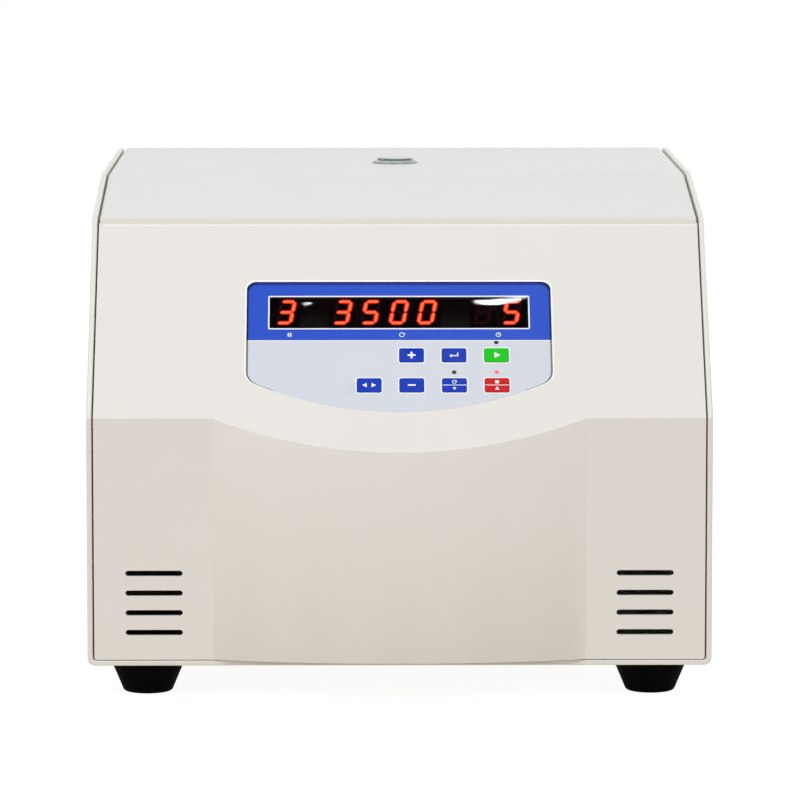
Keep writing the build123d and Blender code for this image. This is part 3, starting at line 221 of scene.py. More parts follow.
def turned(name, colour, rough, centre=SPINDLE, pitch=0.5 * MM):
    """Metal turned or spun about an upright axis, with fine rings."""
    material = finish(
        name, colour, rough, drift=0.03, drift_size=25 * MM, rough_drift=0.07, Metallic=1.0
    )
    tree, shader = parts_of(material)
    position = place(tree, centre=centre)
    flat = vector_maths(tree, "MULTIPLY", position, (1, 1, 0))
    radius = vector_maths(tree, "LENGTH", flat.outputs[0]).outputs["Value"]
    level = add(tree, "ShaderNodeSeparateXYZ", {0: position}).outputs["Z"]
    rings = add(tree, "ShaderNodeCombineXYZ", {0: maths(tree, "ADD", radius, level)}).outputs[0]
    grooves = add(tree, "ShaderNodeTexNoise", {"Vector": rings, "Scale": 1 / pitch, "Detail": 2.0})
    tree.links.new(bump(tree, grooves.outputs["Fac"], 0.012 * MM), shader.inputs["Normal"])
    return material


def sand_cast(name, colour):
    """Cast aluminium, blasted matt."""
    relief = [(0.7 * MM, 0.05 * MM, EVEN), (3 * MM, 0.06 * MM, EVEN)]
    return finish(name, colour, 0.5, drift=0.06, drift_size=12 * MM, relief=relief, Metallic=1.0)


def laminated(name, colour):
    """Stacked electrical steel seen from its edge."""
    material = finish(name, colour, 0.45, drift=0.1, drift_size=8 * MM, Metallic=1.0)
    tree, shader = parts_of(material)
    scale = 1 / CORE_SHEET / WAVE_RATE
    sheets = add(
        tree,
        "ShaderNodeTexWave",
        {"Vector": place(tree), "Scale": scale, "Distortion": 0.3, "Detail": 1.0},
        bands_direction="Z",
    )
    tree.links.new(bump(tree, sheets.outputs["Fac"], 0.08 * MM), shader.inputs["Normal"])
    return material


def circuit_board(name, colour):
    """A board with darker and paler tracks under its lacquer."""
    material = finish(name, colour, 0.35, drift=0.1, drift_size=15 * MM)
    tree, shader = parts_of(material)
    tracks = add(
        tree,
        "ShaderNodeTexBrick",
        {
            "Vector": place(tree),
            "Color1": (*colour, 1),
            "Color2": (*scaled(colour, 0.75), 1),
            "Mortar": (*scaled(colour, 2.2), 1),
            "Scale": 60.0,
            "Mortar Size": 0.03,
        },
    )
    tree.links.new(tracks.outputs["Color"], shader.inputs["Base Color"])
    return material


def lamp(name, colour, strength, shine=0.5):
    """A lit surface, a little uneven like a diffuser."""
    material, tree, shader = new_material(
        name, Roughness=0.4, Specular_IOR_Level=shine, Emission_Strength=strength
    )
    glow = blend(tree, noise(tree, 2 * MM), scaled(colour, 0.85), colour)
    tree.links.new(glow, shader.inputs["Emission Color"])
    shader.inputs["Base Color"].default_value = (*scaled(colour, 0.5), 1)
    return material


# Finishes

PANEL_COLOUR = srgb(236, 231, 225)

ink_white = moulded("ink_white", srgb(250, 250, 252), rough=0.5)
ink_blue = moulded("ink_blue", srgb(34, 80, 204), rough=0.33, shine=0.12)
# painted shadow on the blue band under the film's top edge
band_shadow_blue = moulded("band_shadow_blue", srgb(18, 50, 150), rough=0.4, shine=0.1)
key_blue = moulded("key_blue", srgb(8, 56, 185), rough=0.3, shine=0.08)
key_green = moulded("key_green", srgb(6, 202, 8), rough=0.3, shine=0.08)
key_red = moulded("key_red", srgb(208, 20, 26), rough=0.3, shine=0.08)
panel_plastic = moulded("panel_plastic", PANEL_COLOUR, rough=0.5, shine=0.3)
# painted highlight on the panel's bevelled edges
panel_rim_highlight = panel_highlight("panel_rim_highlight", PANEL_COLOUR, srgb(255, 253, 249))
# painted highlight on the panel's edge round the film
highlight_white = moulded("highlight_white", srgb(254, 254, 252), rough=0.4, shine=0.4)
# painted highlight along the panel's top edge
highlight_pale = moulded("highlight_pale", srgb(243, 240, 235), rough=0.45, shine=0.35)
# painted shade in the gaps round the film
gap_shade_dark = moulded("gap_shade_dark", srgb(22, 26, 52), rough=0.6, shine=0.1)
gap_shade_grey = moulded("gap_shade_grey", srgb(122, 128, 124), rough=0.6, shine=0.1)
# painted light in the gap along the film's low arc
gap_light_pale = moulded("gap_light_pale", srgb(213, 217, 219), rough=0.6, shine=0.1)
lip_beige = moulded("lip_beige", srgb(229, 223, 213), rough=0.6, shine=0.2)
lip_warm = moulded("lip_warm", srgb(233, 229, 225), rough=0.6, shine=0.2)
# painted shade of screw recesses and the gaps round their heads
recess_shade_dark = moulded("recess_shade_dark", (0.03, 0.03, 0.03), rough=0.6, shine=0.1)
lid_plastic = moulded("lid_plastic", srgb(232, 231, 227), rough=0.5, shine=0.3)
overlay_film = moulded("overlay_film", srgb(213, 217, 226), rough=0.36, shine=0.3, grain=0.3 * MM)
black_plastic = moulded("black_plastic", (0.012, 0.012, 0.013), rough=0.4, shine=0.3)
digit_block = moulded("digit_block", (0.002, 0.001, 0.001), rough=0.6, shine=0.01)
led_dark = moulded("led_dark", (0.006, 0.006, 0.008), rough=0.25, shine=0.2)
case_paint = powder_coat("case_paint", srgb(232, 229, 221))
grey_steel = powder_coat("grey_steel", srgb(205, 205, 202))
black_rubber = rubber("black_rubber", (0.003, 0.003, 0.003))
grey_rubber = rubber("grey_rubber", (0.09, 0.09, 0.09))
zinc_steel = brushed("zinc_steel", (0.62, 0.63, 0.65))
screw_steel = brushed("screw_steel", (0.42, 0.42, 0.43), rough=0.3, along=2)
armour_steel = brushed("armour_steel", (0.28, 0.28, 0.29), rough=0.45, along=2)
pin_metal = brushed("pin_metal", (0.75, 0.66, 0.42), rough=0.25, along=1)
shaft_steel = turned("shaft_steel", (0.66, 0.66, 0.67), rough=0.2)
bowl_steel = turned("bowl_steel", (0.72, 0.73, 0.74), rough=0.25, pitch=0.8 * MM)
rotor_metal = turned("rotor_metal", (0.58, 0.60, 0.63), rough=0.3)
core_steel = laminated("core_steel", (0.33, 0.32, 0.32))
cast_aluminium = sand_cast("cast_aluminium", (0.58, 0.59, 0.60))
board_green = circuit_board("board_green", (0.02, 0.16, 0.06))
board_black = circuit_board("board_black", (0.003, 0.003, 0.004))
chrome = finish(
    "chrome", (0.38, 0.41, 0.39), 0.14, drift=0.3, drift_size=4 * MM, rough_drift=0.05, Metallic=1.0
)
sight_glass = finish(
    "sight_glass",
    (0.32, 0.55, 0.47),
    0.05,
    drift=0.05,
    rough_drift=0.02,
    Transmission_Weight=0.9,
    IOR=1.5,
)
window_filter, window_tree, window_shader = new_material(
    "window_filter", Base_Color=(0.002, 0.0004, 0.0004), Alpha=0.55, Specular_IOR_Level=0.03
)
window_polish = between(window_tree, noise(window_tree, 30 * MM), 0.004, 0.012)
window_tree.links.new(window_polish, window_shader.inputs["Roughness"])
digit_core = lamp("digit_core", (1.0, 0.19, 0.07), 6.6, shine=0.05)
digit_lit = lamp("digit_lit", (1.0, 0.05, 0.012), 6.0, shine=0.05)
digit_glow = lamp("digit_glow", (1.0, 0.006, 0.003), 4.6, shine=0.05)
# painted light: strokes that are off glow faintly
digit_off_glow = lamp("digit_off_glow", (0.1, 0.012, 0.03), 0.35, shine=0.05)
led_lit = lamp("led_lit", (1.0, 0.11, 0.14), 1.0)

node_finish = {
    "outer_shell": case_paint,
    "rear_panel": case_paint,
    "front_panel": panel_plastic,
    "lid_shell": lid_plastic,
    "overlay": overlay_film,
    "display_window": window_filter,
    "digit_modules": digit_block,
    "indicator_leds": led_dark,
    "control_board": board_black,
    "power_board": board_green,
    "key_plus": key_blue,
    "key_minus": key_blue,
    "key_enter": key_blue,
    "key_select": key_blue,
    "key_mode": key_blue,
    "key_start": key_green,
    "key_stop": key_red,
    "lid_liner": grey_steel,
    "deck": grey_steel,
    "sight_ring": chrome,
    "sight_glass": sight_glass,
    "striker": zinc_steel,
    "hinge_body_leaves": zinc_steel,
    "hinge_lid_leaves": zinc_steel,
    "hinge_body_screws": screw_steel,
    "hinge_lid_screws": screw_steel,
    "hinge_pins": screw_steel,
    "case_screws": screw_steel,
    "foot_screws": screw_steel,
    "chamber_bowl": bowl_steel,
    "armour_ring": armour_steel,
    "chamber_seal": black_rubber,
    "base_plate": zinc_steel,
    "feet": black_rubber,
    "dampers": grey_rubber,
    "shaft_boot": black_rubber,
    "motor_plate": zinc_steel,
    "motor_housing": cast_aluminium,
    "motor_cap": cast_aluminium,
    "motor_stator": core_steel,
    "motor_core": core_steel,
    "bearings": shaft_steel,
    "drive_shaft": shaft_steel,
    "rotor_head": rotor_metal,
    "rotor_nut": black_plastic,
    "lock_bracket": zinc_steel,
    "lock_solenoid": zinc_steel,
    "lock_bolt": screw_steel,
    "mains_inlet": black_plastic,
    "inlet_pins": pin_metal,
    "switch_frame": black_plastic,
    "switch_rocker": black_plastic,
}
for number in range(1, 5):
    low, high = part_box(f"bucket_{number}")
    node_finish[f"bucket_{number}"] = turned(
        f"bucket_metal_{number}", (0.66, 0.67, 0.70), rough=0.26, centre=tuple((low + high) / 2)
    )
    node_finish[f"bucket_cushion_{number}"] = black_rubber
for name, material in node_finish.items():
    nodes[name].data.materials.clear()
    nodes[name].data.materials.append(material)


# The tilted face: x across, up along the face, lift outwards from the control field

LAYER = 0.05 * MM  # thickness of a printed layer
ON_FACE = 0.01 * MM  # points this near to a face lie on it
BAR_ROUND = 0.1 * MM

key_joint = next(joint for joint in frame["joints"] if joint["name"] == "key_plus_press")
outward = -Vector(key_joint["axis"]).normalized()
upward = Vector((0, outward.z, -outward.y))
field_lift = max(vertex.co.dot(outward) for vertex in nodes["overlay"].data.vertices)
face = Matrix((Vector((1, 0, 0)), upward, outward)).transposed().to_4x4()
face.translation = outward * field_lift


def face_span(name, lowest=-1.0):
    """Least and greatest x and up of a node's points that lie above a lift."""
    points = [face.inverted() @ vertex.co for vertex in nodes[name].data.vertices]
    points = [point for point in points if point.z > lowest]
    across = [point.x for point in points]
    up = [point.y for point in points]
    return min(across), max(across), min(up), max(up)


def flat_piece(name, loops, material, body="housing", lift=0.0, plane=face):
    """A thin layer on a plane, cut to closed outlines; an outline inside another is a hole."""
    curve = bpy.data.curves.new(name, "CURVE")
    curve.dimensions = "2D"
    curve.fill_mode = "BOTH"
    curve.extrude = LAYER / 2
    for loop in loops:
        spline = curve.splines.new("POLY")
        spline.points.add(len(loop) - 1)
        for point, (x, up) in zip(spline.points, loop):
            point.co = (x, up, 0, 1)
        spline.use_cyclic_u = True
    pattern = bpy.data.objects.new(name + "_outline", curve)
    mesh = bpy.data.meshes.new_from_object(pattern)
    bpy.data.objects.remove(pattern)
    mesh.transform(plane @ Matrix.Translation((0, 0, lift + LAYER / 2)))
    mesh.name = name
    mesh.materials.clear()
    mesh.materials.append(material)
    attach(new_object(name, mesh), body)


def rounded(x0, x1, low, high, low_round, high_round, steps=6):
    """A rectangle with round corners, as a loop of points."""
    corners = (
        (x1 - low_round, low + low_round, low_round, 270),
        (x1 - high_round, high - high_round, high_round, 0),
        (x0 + high_round, high - high_round, high_round, 90),
        (x0 + low_round, low + low_round, low_round, 180),
    )
    loop = []
    for x, up, radius, start in corners:
        for step in range(steps + 1):
            angle = radians(start + 90 * step / steps)
            loop.append((x + radius * cos(angle), up + radius * sin(angle)))
    return loop


def grown(x0, x1, low, high, amount, corner):
    """A rectangle grown on every side, with round corners."""
    return rounded(x0 - amount, x1 + amount, low - amount, high + amount, corner, corner)


def bar(x, up, width, height):
    """A plain bar about its middle."""
    half_x, half_up = width / 2, height / 2
    return rounded(x - half_x, x + half_x, up - half_up, up + half_up, BAR_ROUND, BAR_ROUND, steps=2)


def circle(x, up, radius, steps=32):
    """A round loop."""
    turns = [2 * pi * n / steps for n in range(steps)]
    return [(x + radius * cos(turn), up + radius * sin(turn)) for turn in turns]


def shifted(loops, x, up):
    """Loops moved to a place on the face."""
    return [[(x + px, up + pup) for px, pup in loop] for loop in loops]


# Blue band, its lower line and the line round the window

BAND_HEIGHT = 40.3 * MM
BAND_ROUND = 5.5 * MM
BAND_LINE = 0.6 * MM
WINDOW_LINE = 0.95 * MM
WINDOW_GAP = 0.2 * MM
WINDOW_CORNER = 0.3 * MM
EDGE_GAP = 0.05 * MM
SHARP = 0.02 * MM

field_x0, field_x1, field_low, field_high = face_span("overlay")
window = face_span("display_window", -0.5 * MM)
window_middle = (window[2] + window[3]) / 2
band_low = field_high - BAND_HEIGHT
band_x0, band_x1 = field_x0 + EDGE_GAP, field_x1 - EDGE_GAP
band_loop = rounded(band_x0, band_x1, band_low, field_high - EDGE_GAP, SHARP, BAND_ROUND, steps=8)
line_loop = rounded(band_x0, band_x1, band_low - BAND_LINE, band_low, SHARP, SHARP, steps=1)
window_loop = grown(*window, WINDOW_LINE, WINDOW_LINE)
window_hole = grown(*window, WINDOW_GAP, WINDOW_CORNER)
flat_piece("print_band", [band_loop, window_hole], ink_blue)
flat_piece("print_window_line", [window_loop, window_hole], ink_white, lift=LAYER)
flat_piece("print_band_line", [line_loop], ink_white)


# Border of the control field: painted shade in the gap round the film, a painted shadow on the band
# under its top, painted light along the low arc, and a painted highlight on the panel's edge beside it

GAP_SIDE = 0.9 * MM
GAP_TOP = 0.9 * MM
GAP_LOW = 0.22 * MM
GAP_LIFT = 0.1 * MM
ARC_LIFT = 0.12 * MM  # the low arc's line lies over the ends of the corners' lines
SHADE_TOP = 2.3 * MM
SEAM = 0.2 * MM
EDGE_LINE = 0.8 * MM
EDGE_OVER = 0.3 * MM  # how far the painted highlight on the panel's edge reaches over the gap at the top
EDGE_LOW = 0.3 * MM  # and how wide it is at the low corners
PANEL_LIFT = 0.4 * MM
CORNER_REACH = 12 * MM  # the low corners end this far in from the field's sides
SAME_SIDE = 1e-12  # least area that still counts as a turn of the outline


def outline(name):
    """Outer corner points of a convex node on the face, counterclockwise from its leftmost."""
    points = [face.inverted() @ vertex.co for vertex in nodes[name].data.vertices]
    flat = sorted({(round(point.x, 6), round(point.y, 6)) for point in points if point.z > -ON_FACE})
    chains = []
    for run in (flat, flat[::-1]):
        chain = []
        for x, up in run:
            while len(chain) > 1:
                (ax, aup), (bx, bup) = chain[-2:]
                if (bx - ax) * (up - aup) - (bup - aup) * (x - ax) > SAME_SIDE:
                    break
                chain.pop()
            chain.append((x, up))
        chains.append(chain[:-1])
    return chains[0] + chains[1]


def part_of(loop, level, over):
    """The part of a convex loop over or under a level, from one crossing to the other."""
    keep = []
    for (ax, aup), (bx, bup) in zip(loop, loop[1:] + loop[:1]):
        if (aup > level) == over:
            keep.append((ax, aup))
        if (aup > level) != (bup > level):
            keep.append((ax + (bx - ax) * (level - aup) / (bup - aup), level))

    def cut_before(n):
        """Length of the cut that ends at a point, or nothing."""
        (ax, aup), (bx, bup) = keep[n - 1], keep[n]
        return abs(bx - ax) if aup == bup == level else 0

    start = max(range(len(keep)), key=cut_before)
    return keep[start:] + keep[:start]


def stretched(path, side, end):
    """A path on the field moved out at the sides and at its top and low ends."""
    middle_up = (field_low + field_high) / 2
    across = 1 + side / field_x1
    along = 1 + 2 * end / (field_high - field_low)
    return [(x * across, middle_up + (up - middle_up) * along) for x, up in path]


def border_piece(name, path, inner, outer, material, lift):
    """A strip along a path of the field's outline, between two offsets of side and end."""
    loop = stretched(path, *outer) + stretched(path, *inner)[::-1]
    flat_piece(name, [loop], material, lift=lift)


field_outline = outline("overlay")
high_path = part_of(field_outline, band_low, True)
low_path = part_of(field_outline, band_low, False)
arc = [n for n, (x, up) in enumerate(low_path) if abs(x) < field_x1 - CORNER_REACH]
arc_path = low_path[arc[0] : arc[-1] + 1]
corner_paths = {"one": low_path[: arc[0] + 1], "two": low_path[arc[-1] :]}
gap_end, shade_end = (-GAP_SIDE, -GAP_TOP), (-GAP_SIDE, -SHADE_TOP)
edge_end, edge_corner = (SEAM + EDGE_LINE, SEAM + EDGE_LINE), (SEAM + EDGE_LINE, SEAM + EDGE_LOW)
# painted shade in the gap over the film's top, and a painted shadow on the band below it
border_piece("print_gap_high", high_path, gap_end, (0, 0), gap_shade_dark, GAP_LIFT)
border_piece("painted_band_shadow", high_path, shade_end, gap_end, band_shadow_blue, GAP_LIFT)
# painted highlight: a white strip on the panel's edge beside the gap over the film's top
border_piece("print_edge_high", high_path, (SEAM, -EDGE_OVER), edge_end, highlight_white, PANEL_LIFT)
# in each low corner: painted shade in the gap, and a painted highlight on the panel's edge beside it
for name, path in corner_paths.items():
    border_piece(f"print_gap_{name}", path, (-GAP_SIDE, -GAP_LOW), (0, 0), gap_shade_grey, GAP_LIFT)
    border_piece(f"print_edge_{name}", path, (SEAM, SEAM), edge_corner, highlight_white, PANEL_LIFT)
# painted light: a pale line over the gap along the low arc
border_piece("print_gap_arc", arc_path, (-GAP_LOW, -GAP_LOW), (SEAM, SEAM), gap_light_pale, ARC_LIFT)


# Signs, as loops about their middle


def plus_sign(size, line):
    """A cross."""
    reach, half = size / 2, line / 2
    corners = [(half, half), (half, reach), (-half, reach)]
    loop = []
    for _ in range(4):
        loop += corners
        corners = [(-up, x) for x, up in corners]
    return [loop]


def triangle(size, turn):
    """A triangle that points along a direction in degrees."""
    angles = [radians(turn + n * 120) for n in range(3)]
    return [[(size * cos(angle), size * sin(angle)) for angle in angles]]


def ring(radius, line):
    """A circle line."""
    return [circle(0, 0, radius), circle(0, 0, radius - line)]


def arc_line(radius, line, start, end, steps=24):
    """An open circular line."""
    angles = [radians(start + (end - start) * n / steps) for n in range(steps + 1)]
    outer = [((radius + line / 2) * cos(a), (radius + line / 2) * sin(a)) for a in angles]
    inner = [((radius - line / 2) * cos(a), (radius - line / 2) * sin(a)) for a in reversed(angles)]
    return [outer + inner]


def clock_mark(radius):
    """A clock face with two hands."""
    line = 0.35 * MM
    hands = [bar(0, radius * 0.3, line, radius * 0.62), bar(radius * 0.24, 0, radius * 0.5, line)]
    return ring(radius, line) + hands


def speed_mark(radius):
    """A circling arrow."""
    tip = radians(20)
    arrow = shifted(triangle(0.75 * MM, -60), radius * cos(tip), radius * sin(tip))
    return arc_line(radius, 0.4 * MM, 40, 330) + arrow


def number_mark(size):
    """Four crossed lines."""
    line = size * 0.13
    uprights = [bar(x, 0, line, size) for x in (-size / 5, size / 5)]
    levels = [
        bar(x, up, width, line)
        for up in (-size / 5, size / 5)
        for x, width in ((-size * 0.36, size * 0.18), (0, size * 0.26), (size * 0.36, size * 0.18))
    ]
    return uprights + levels


# Signs under the display and on the keys

LABEL_UP = 3.7 * MM  # the signs stand this far above the band's lower edge
LABELS = (  # name, sign and place across
    ("number", number_mark(3.0 * MM), -61.8 * MM),
    ("speed", speed_mark(1.35 * MM), 1.6 * MM),
    ("time", clock_mark(1.5 * MM), 56.0 * MM),
)
KEY_GAP = 0.25 * MM
KEY_LINE = 0.95 * MM
KEY_CORNER = 1.2 * MM
KEY_SPLIT = 0.4 * MM
KEY_HALF = 2.15 * MM  # from a divided key's middle to the middle of each half
ENTER_ARROW = (  # corner points, in mm
    (-2.6, -0.5), (-1.2, 0.7), (-1.2, -0.2), (1.7, -0.2), (1.7, 1.6), (2.4, 1.6), (2.4, -0.8),
    (-1.2, -0.8), (-1.2, -1.7),
)

for name, sign, x in LABELS:
    flat_piece(f"print_{name}_mark", shifted(sign, x, band_low + LABEL_UP), ink_white, lift=LAYER)


def key_marks(name, loops, split=False):
    """The white line round one key, its sign and, on a divided key, the middle line."""
    key = face_span(name, 0.0)
    x0, x1, low, high = key
    top = max((face.inverted() @ vertex.co).z for vertex in nodes[name].data.vertices)
    border = [
        grown(*key, KEY_LINE, KEY_CORNER + KEY_LINE - KEY_GAP),
        grown(*key, KEY_GAP, KEY_CORNER),
    ]
    flat_piece(f"print_{name}_border", border, ink_white)
    if split:
        loops = loops + [bar(0, 0, x1 - x0, KEY_SPLIT)]
    sign = shifted(loops, (x0 + x1) / 2, (low + high) / 2)
    flat_piece(f"print_{name}_sign", sign, ink_white, body=name, lift=top)


key_marks("key_plus", plus_sign(4.4 * MM, 1.1 * MM))
key_marks("key_minus", [bar(0, 0, 4.4 * MM, 1.0 * MM)])
key_marks("key_enter", [[(x * MM, up * MM) for x, up in ENTER_ARROW]])
key_marks("key_start", triangle(2.3 * MM, 0))
key_marks(
    "key_select",
    shifted(triangle(1.7 * MM, 180), -2.2 * MM, 0) + shifted(triangle(1.7 * MM, 0), 2.2 * MM, 0),
)
key_marks(
    "key_mode",
    shifted(speed_mark(1.05 * MM), 0, KEY_HALF) + shifted(triangle(1.2 * MM, 270), 0, -KEY_HALF),
    split=True,
)
key_marks(
    "key_stop",
    [bar(0, KEY_HALF, 2.1 * MM, 2.1 * MM), bar(0, -KEY_HALF - 0.9 * MM, 2.4 * MM, 0.4 * MM)]
    + shifted(triangle(1.15 * MM, 90), 0, -KEY_HALF + 0.1 * MM),
    split=True,
)


# Lit strokes and lamp, chosen by where each raised face lies

SEGMENTS = {  # top, middle, bottom, upper left, upper right, lower left, lower right
    "0": "1011111",
    "3": "1110101",
    "5": "1111001",
}
SHOWN = ("3", "3", "5", "0", "0", "", "5")
DIGIT_PITCH = 15.95 * MM
DIGIT_PLACES = [slot * DIGIT_PITCH for slot in (-4, -2, -1, 0, 1, 3, 4)]
DIGIT_LEAN = radians(10)
STROKE = 7.35 * MM
STROKE_THICK = 1.9 * MM
STROKE_PLACES = (
    (0, STROKE),
    (0, 0),
    (0, -STROKE),
    (-STROKE / 2, STROKE / 2),
    (STROKE / 2, STROKE / 2),
    (-STROKE / 2, -STROKE / 2),
    (STROKE / 2, -STROKE / 2),
)
LEVEL_STROKES = 3  # the first ones lie level, the others stand
GLOW = 0.42 * MM
CORE_INSET = 0.38 * MM
CORE_SHORT = 0.55 * MM
LIGHT_LIFT = 0.02 * MM  # the spill lies this far under the stroke's face, the core as far over it
LED_REACH = 10 * MM  # the lamp of the stop key stands no further above the key than this


def is_lit(number, stroke):
    """Whether one stroke of one digit is on."""
    shown = SHOWN[number]
    return bool(shown) and SEGMENTS[shown][stroke] == "1"


def stroke_loop(middle_x, middle_up, stroke, grow, longer):
    """Outline of one stroke, grown for the light that spills round it or shrunk for its core."""
    x, up = STROKE_PLACES[stroke]
    reach, half = STROKE / 2 + longer, STROKE_THICK / 2 + grow
    loop = [
        (-reach, 0),
        (half - reach, half),
        (reach - half, half),
        (reach, 0),
        (reach - half, -half),
        (half - reach, -half),
    ]
    if stroke >= LEVEL_STROKES:
        loop = [(py, px) for px, py in loop]
    return [(middle_x + x + px + (up + py) * tan(DIGIT_LEAN), middle_up + up + py) for px, py in loop]


def light_plane(name, loops, lift, material):
    """One mesh of six-sided faces at a lift above the field."""
    mesh = bpy.data.meshes.new(name)
    corners = [(x, up, lift) for loop in loops for x, up in loop]
    mesh.from_pydata(corners, [], [range(6 * n, 6 * n + 6) for n in range(len(loops))])
    mesh.transform(face)
    mesh.materials.append(material)
    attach(new_object(name, mesh), "housing")


def light_digits():
    """Light the raised strokes that are on, with a red spill round them and a bright core; the strokes
    that are off get a faint painted glow.
    """
    mesh = nodes["digit_modules"].data
    mesh.materials.append(digit_lit)
    mesh.materials.append(digit_off_glow)
    to_face = face.inverted()
    points = [to_face @ vertex.co for vertex in mesh.vertices]
    top = max(point.z for point in points)
    ups = [point.y for point in points if point.z > top - ON_FACE]
    middle_up = (min(ups) + max(ups)) / 2
    numbers, strokes = range(len(SHOWN)), range(len(STROKE_PLACES))
    for polygon in mesh.polygons:
        centre = to_face @ polygon.center
        if centre.z < top - ON_FACE:
            continue
        number = min(numbers, key=lambda n: abs(DIGIT_PLACES[n] - centre.x))
        up = centre.y - middle_up
        x = centre.x - DIGIT_PLACES[number] - up * tan(DIGIT_LEAN)
        away = [(x - place_x) ** 2 + (up - place_up) ** 2 for place_x, place_up in STROKE_PLACES]
        polygon.material_index = 1 if is_lit(number, away.index(min(away))) else 2
    lit = [
        (DIGIT_PLACES[number], middle_up, stroke)
        for number in numbers
        for stroke in strokes
        if is_lit(number, stroke)
    ]
    glows = [stroke_loop(*spot, GLOW, GLOW / 3) for spot in lit]
    cores = [stroke_loop(*spot, -CORE_INSET, -CORE_SHORT) for spot in lit]
    light_plane("digit_glow", glows, top - LIGHT_LIFT, digit_glow)
    light_plane("digit_core", cores, top + LIGHT_LIFT, digit_core)


def light_lamp():
    """Light the lamp beside the stop key."""
    mesh = nodes["indicator_leds"].data
    mesh.materials.append(led_lit)
    x0, x1, low, high = face_span("key_stop", 0.0)
    for polygon in mesh.polygons:
        centre = face.inverted() @ polygon.center
        if x0 < centre.x < x1 and centre.y < high + LED_REACH:
            polygon.material_index = 1


light_digits()
light_lamp()


# Seam between lid and panel: a soft lip on the lid, and a strip of painted highlight along the panel's
# top edge

SKIN_LIFT = PANEL_LIFT - 0.05 * MM  # the outer skin of panel and lid lies above this
BEAD_RISE = 4.3 * MM
BEAD_DROP = 1.4 * MM
BEAD_WARM = 2.2 * MM
BEAD_HIGH = 0.45 * MM
BEAD_CLEAR = 0.02 * MM
BEAD_END = 0.8 * MM
BEAD_STEPS = 12
TOP_EDGE = 1.7 * MM
TOP_EDGE_DOWN = 0.7 * MM
TOP_EDGE_SHORT = 4 * MM


def lid_bead():
    """The soft beige lip along the lid's front edge, which covers the seam."""
    front = face_span("lid_shell", SKIN_LIFT)[2]
    half_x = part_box("lid_shell")[1][0] - BEAD_END
    middle, half_wide = front + (BEAD_RISE - BEAD_DROP) / 2, (BEAD_RISE + BEAD_DROP) / 2
    profile = [(front - BEAD_DROP, PANEL_LIFT)]
    for step in range(BEAD_STEPS + 1):
        turn = pi * step / BEAD_STEPS
        lift = PANEL_LIFT + BEAD_HIGH * sin(turn) + BEAD_CLEAR
        profile.append((middle - half_wide * cos(turn), lift))
    profile.append((front + BEAD_RISE, PANEL_LIFT))
    count = len(profile)
    corners = [(x, up, lift) for x in (-half_x, half_x) for up, lift in profile]
    faces = [(n, count + n, count + (n + 1) % count, (n + 1) % count) for n in range(count)]
    faces += [range(count), range(2 * count - 1, count - 1, -1)]
    mesh = bpy.data.meshes.new("lid_bead")
    mesh.from_pydata(corners, [], faces)
    mesh.transform(face)
    mesh.materials.append(lip_beige)
    mesh.materials.append(lip_warm)
    for polygon in mesh.polygons:
        if (face.inverted() @ polygon.center).y > front + BEAD_WARM:
            polygon.material_index = 1
    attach(new_object("lid_bead", mesh), "lid")


lid_bead()
panel_x0, panel_x1, panel_low, panel_high = face_span("front_panel", SKIN_LIFT)
# painted highlight: a pale strip along the panel's top edge, under the lip
strip_up = panel_high - TOP_EDGE / 2 - TOP_EDGE_DOWN
strip = bar(0, strip_up, panel_x1 - panel_x0 - TOP_EDGE_SHORT, TOP_EDGE)
flat_piece("painted_highlight_top_edge", [strip], highlight_pale, lift=PANEL_LIFT)


# Painted shade of the cross recesses and rims of the flush screws

HEAD_REACH = 9 * MM  # points of one head lie closer together than this
RIM_LINE = 0.2 * MM
RECESS = 1.1  # length and line of the cross, in radii of the head
RECESS_LINE = 0.26
MARK_LIFT = -0.04 * MM


def screw_heads(points):
    """Points on the outer faces of several screws, grouped by screw."""
    heads = []
    for point in points:
        near = [head for head in heads if (head[0] - point).length < HEAD_REACH]
        if near:
            near[0].append(point)
        else:
            heads.append([point])
    return heads


def screw_marks(name, side, normal, body):
    """Painted shade on the screw heads that face one way: dark crosses in place of cross recesses, and
    thin dark rim lines.
    """
    vertices = nodes[name].data.vertices
    upright = Vector((0, 0, 1))
    plane = Matrix((upright.cross(normal), upright, normal)).transposed().to_4x4()
    plane.translation = normal * max(vertex.co.dot(normal) for vertex in vertices)
    points = [plane.inverted() @ vertex.co for vertex in vertices]
    loops = []
    for head in screw_heads([point for point in points if point.z >= -ON_FACE]):
        across = [point.x for point in head]
        up = [point.y for point in head]
        radius = (max(across) - min(across)) / 2
        marks = ring(radius + RIM_LINE / 2, RIM_LINE) + plus_sign(radius * RECESS, radius * RECESS_LINE)
        loops += shifted(marks, (max(across) + min(across)) / 2, (max(up) + min(up)) / 2)
    flat_piece(f"marks_{name}_{side}", loops, recess_shade_dark, body=body, lift=MARK_LIFT, plane=plane)


screw_marks("case_screws", "right", Vector((1, 0, 0)), "housing")
screw_marks("case_screws", "left", Vector((-1, 0, 0)), "housing")
screw_marks("hinge_body_screws", "rear", Vector((0, 1, 0)), "housing")
screw_marks("hinge_lid_screws", "rear", Vector((0, 1, 0)), "lid")


# Softened edges: joined corner points, then a small round on sharp edges

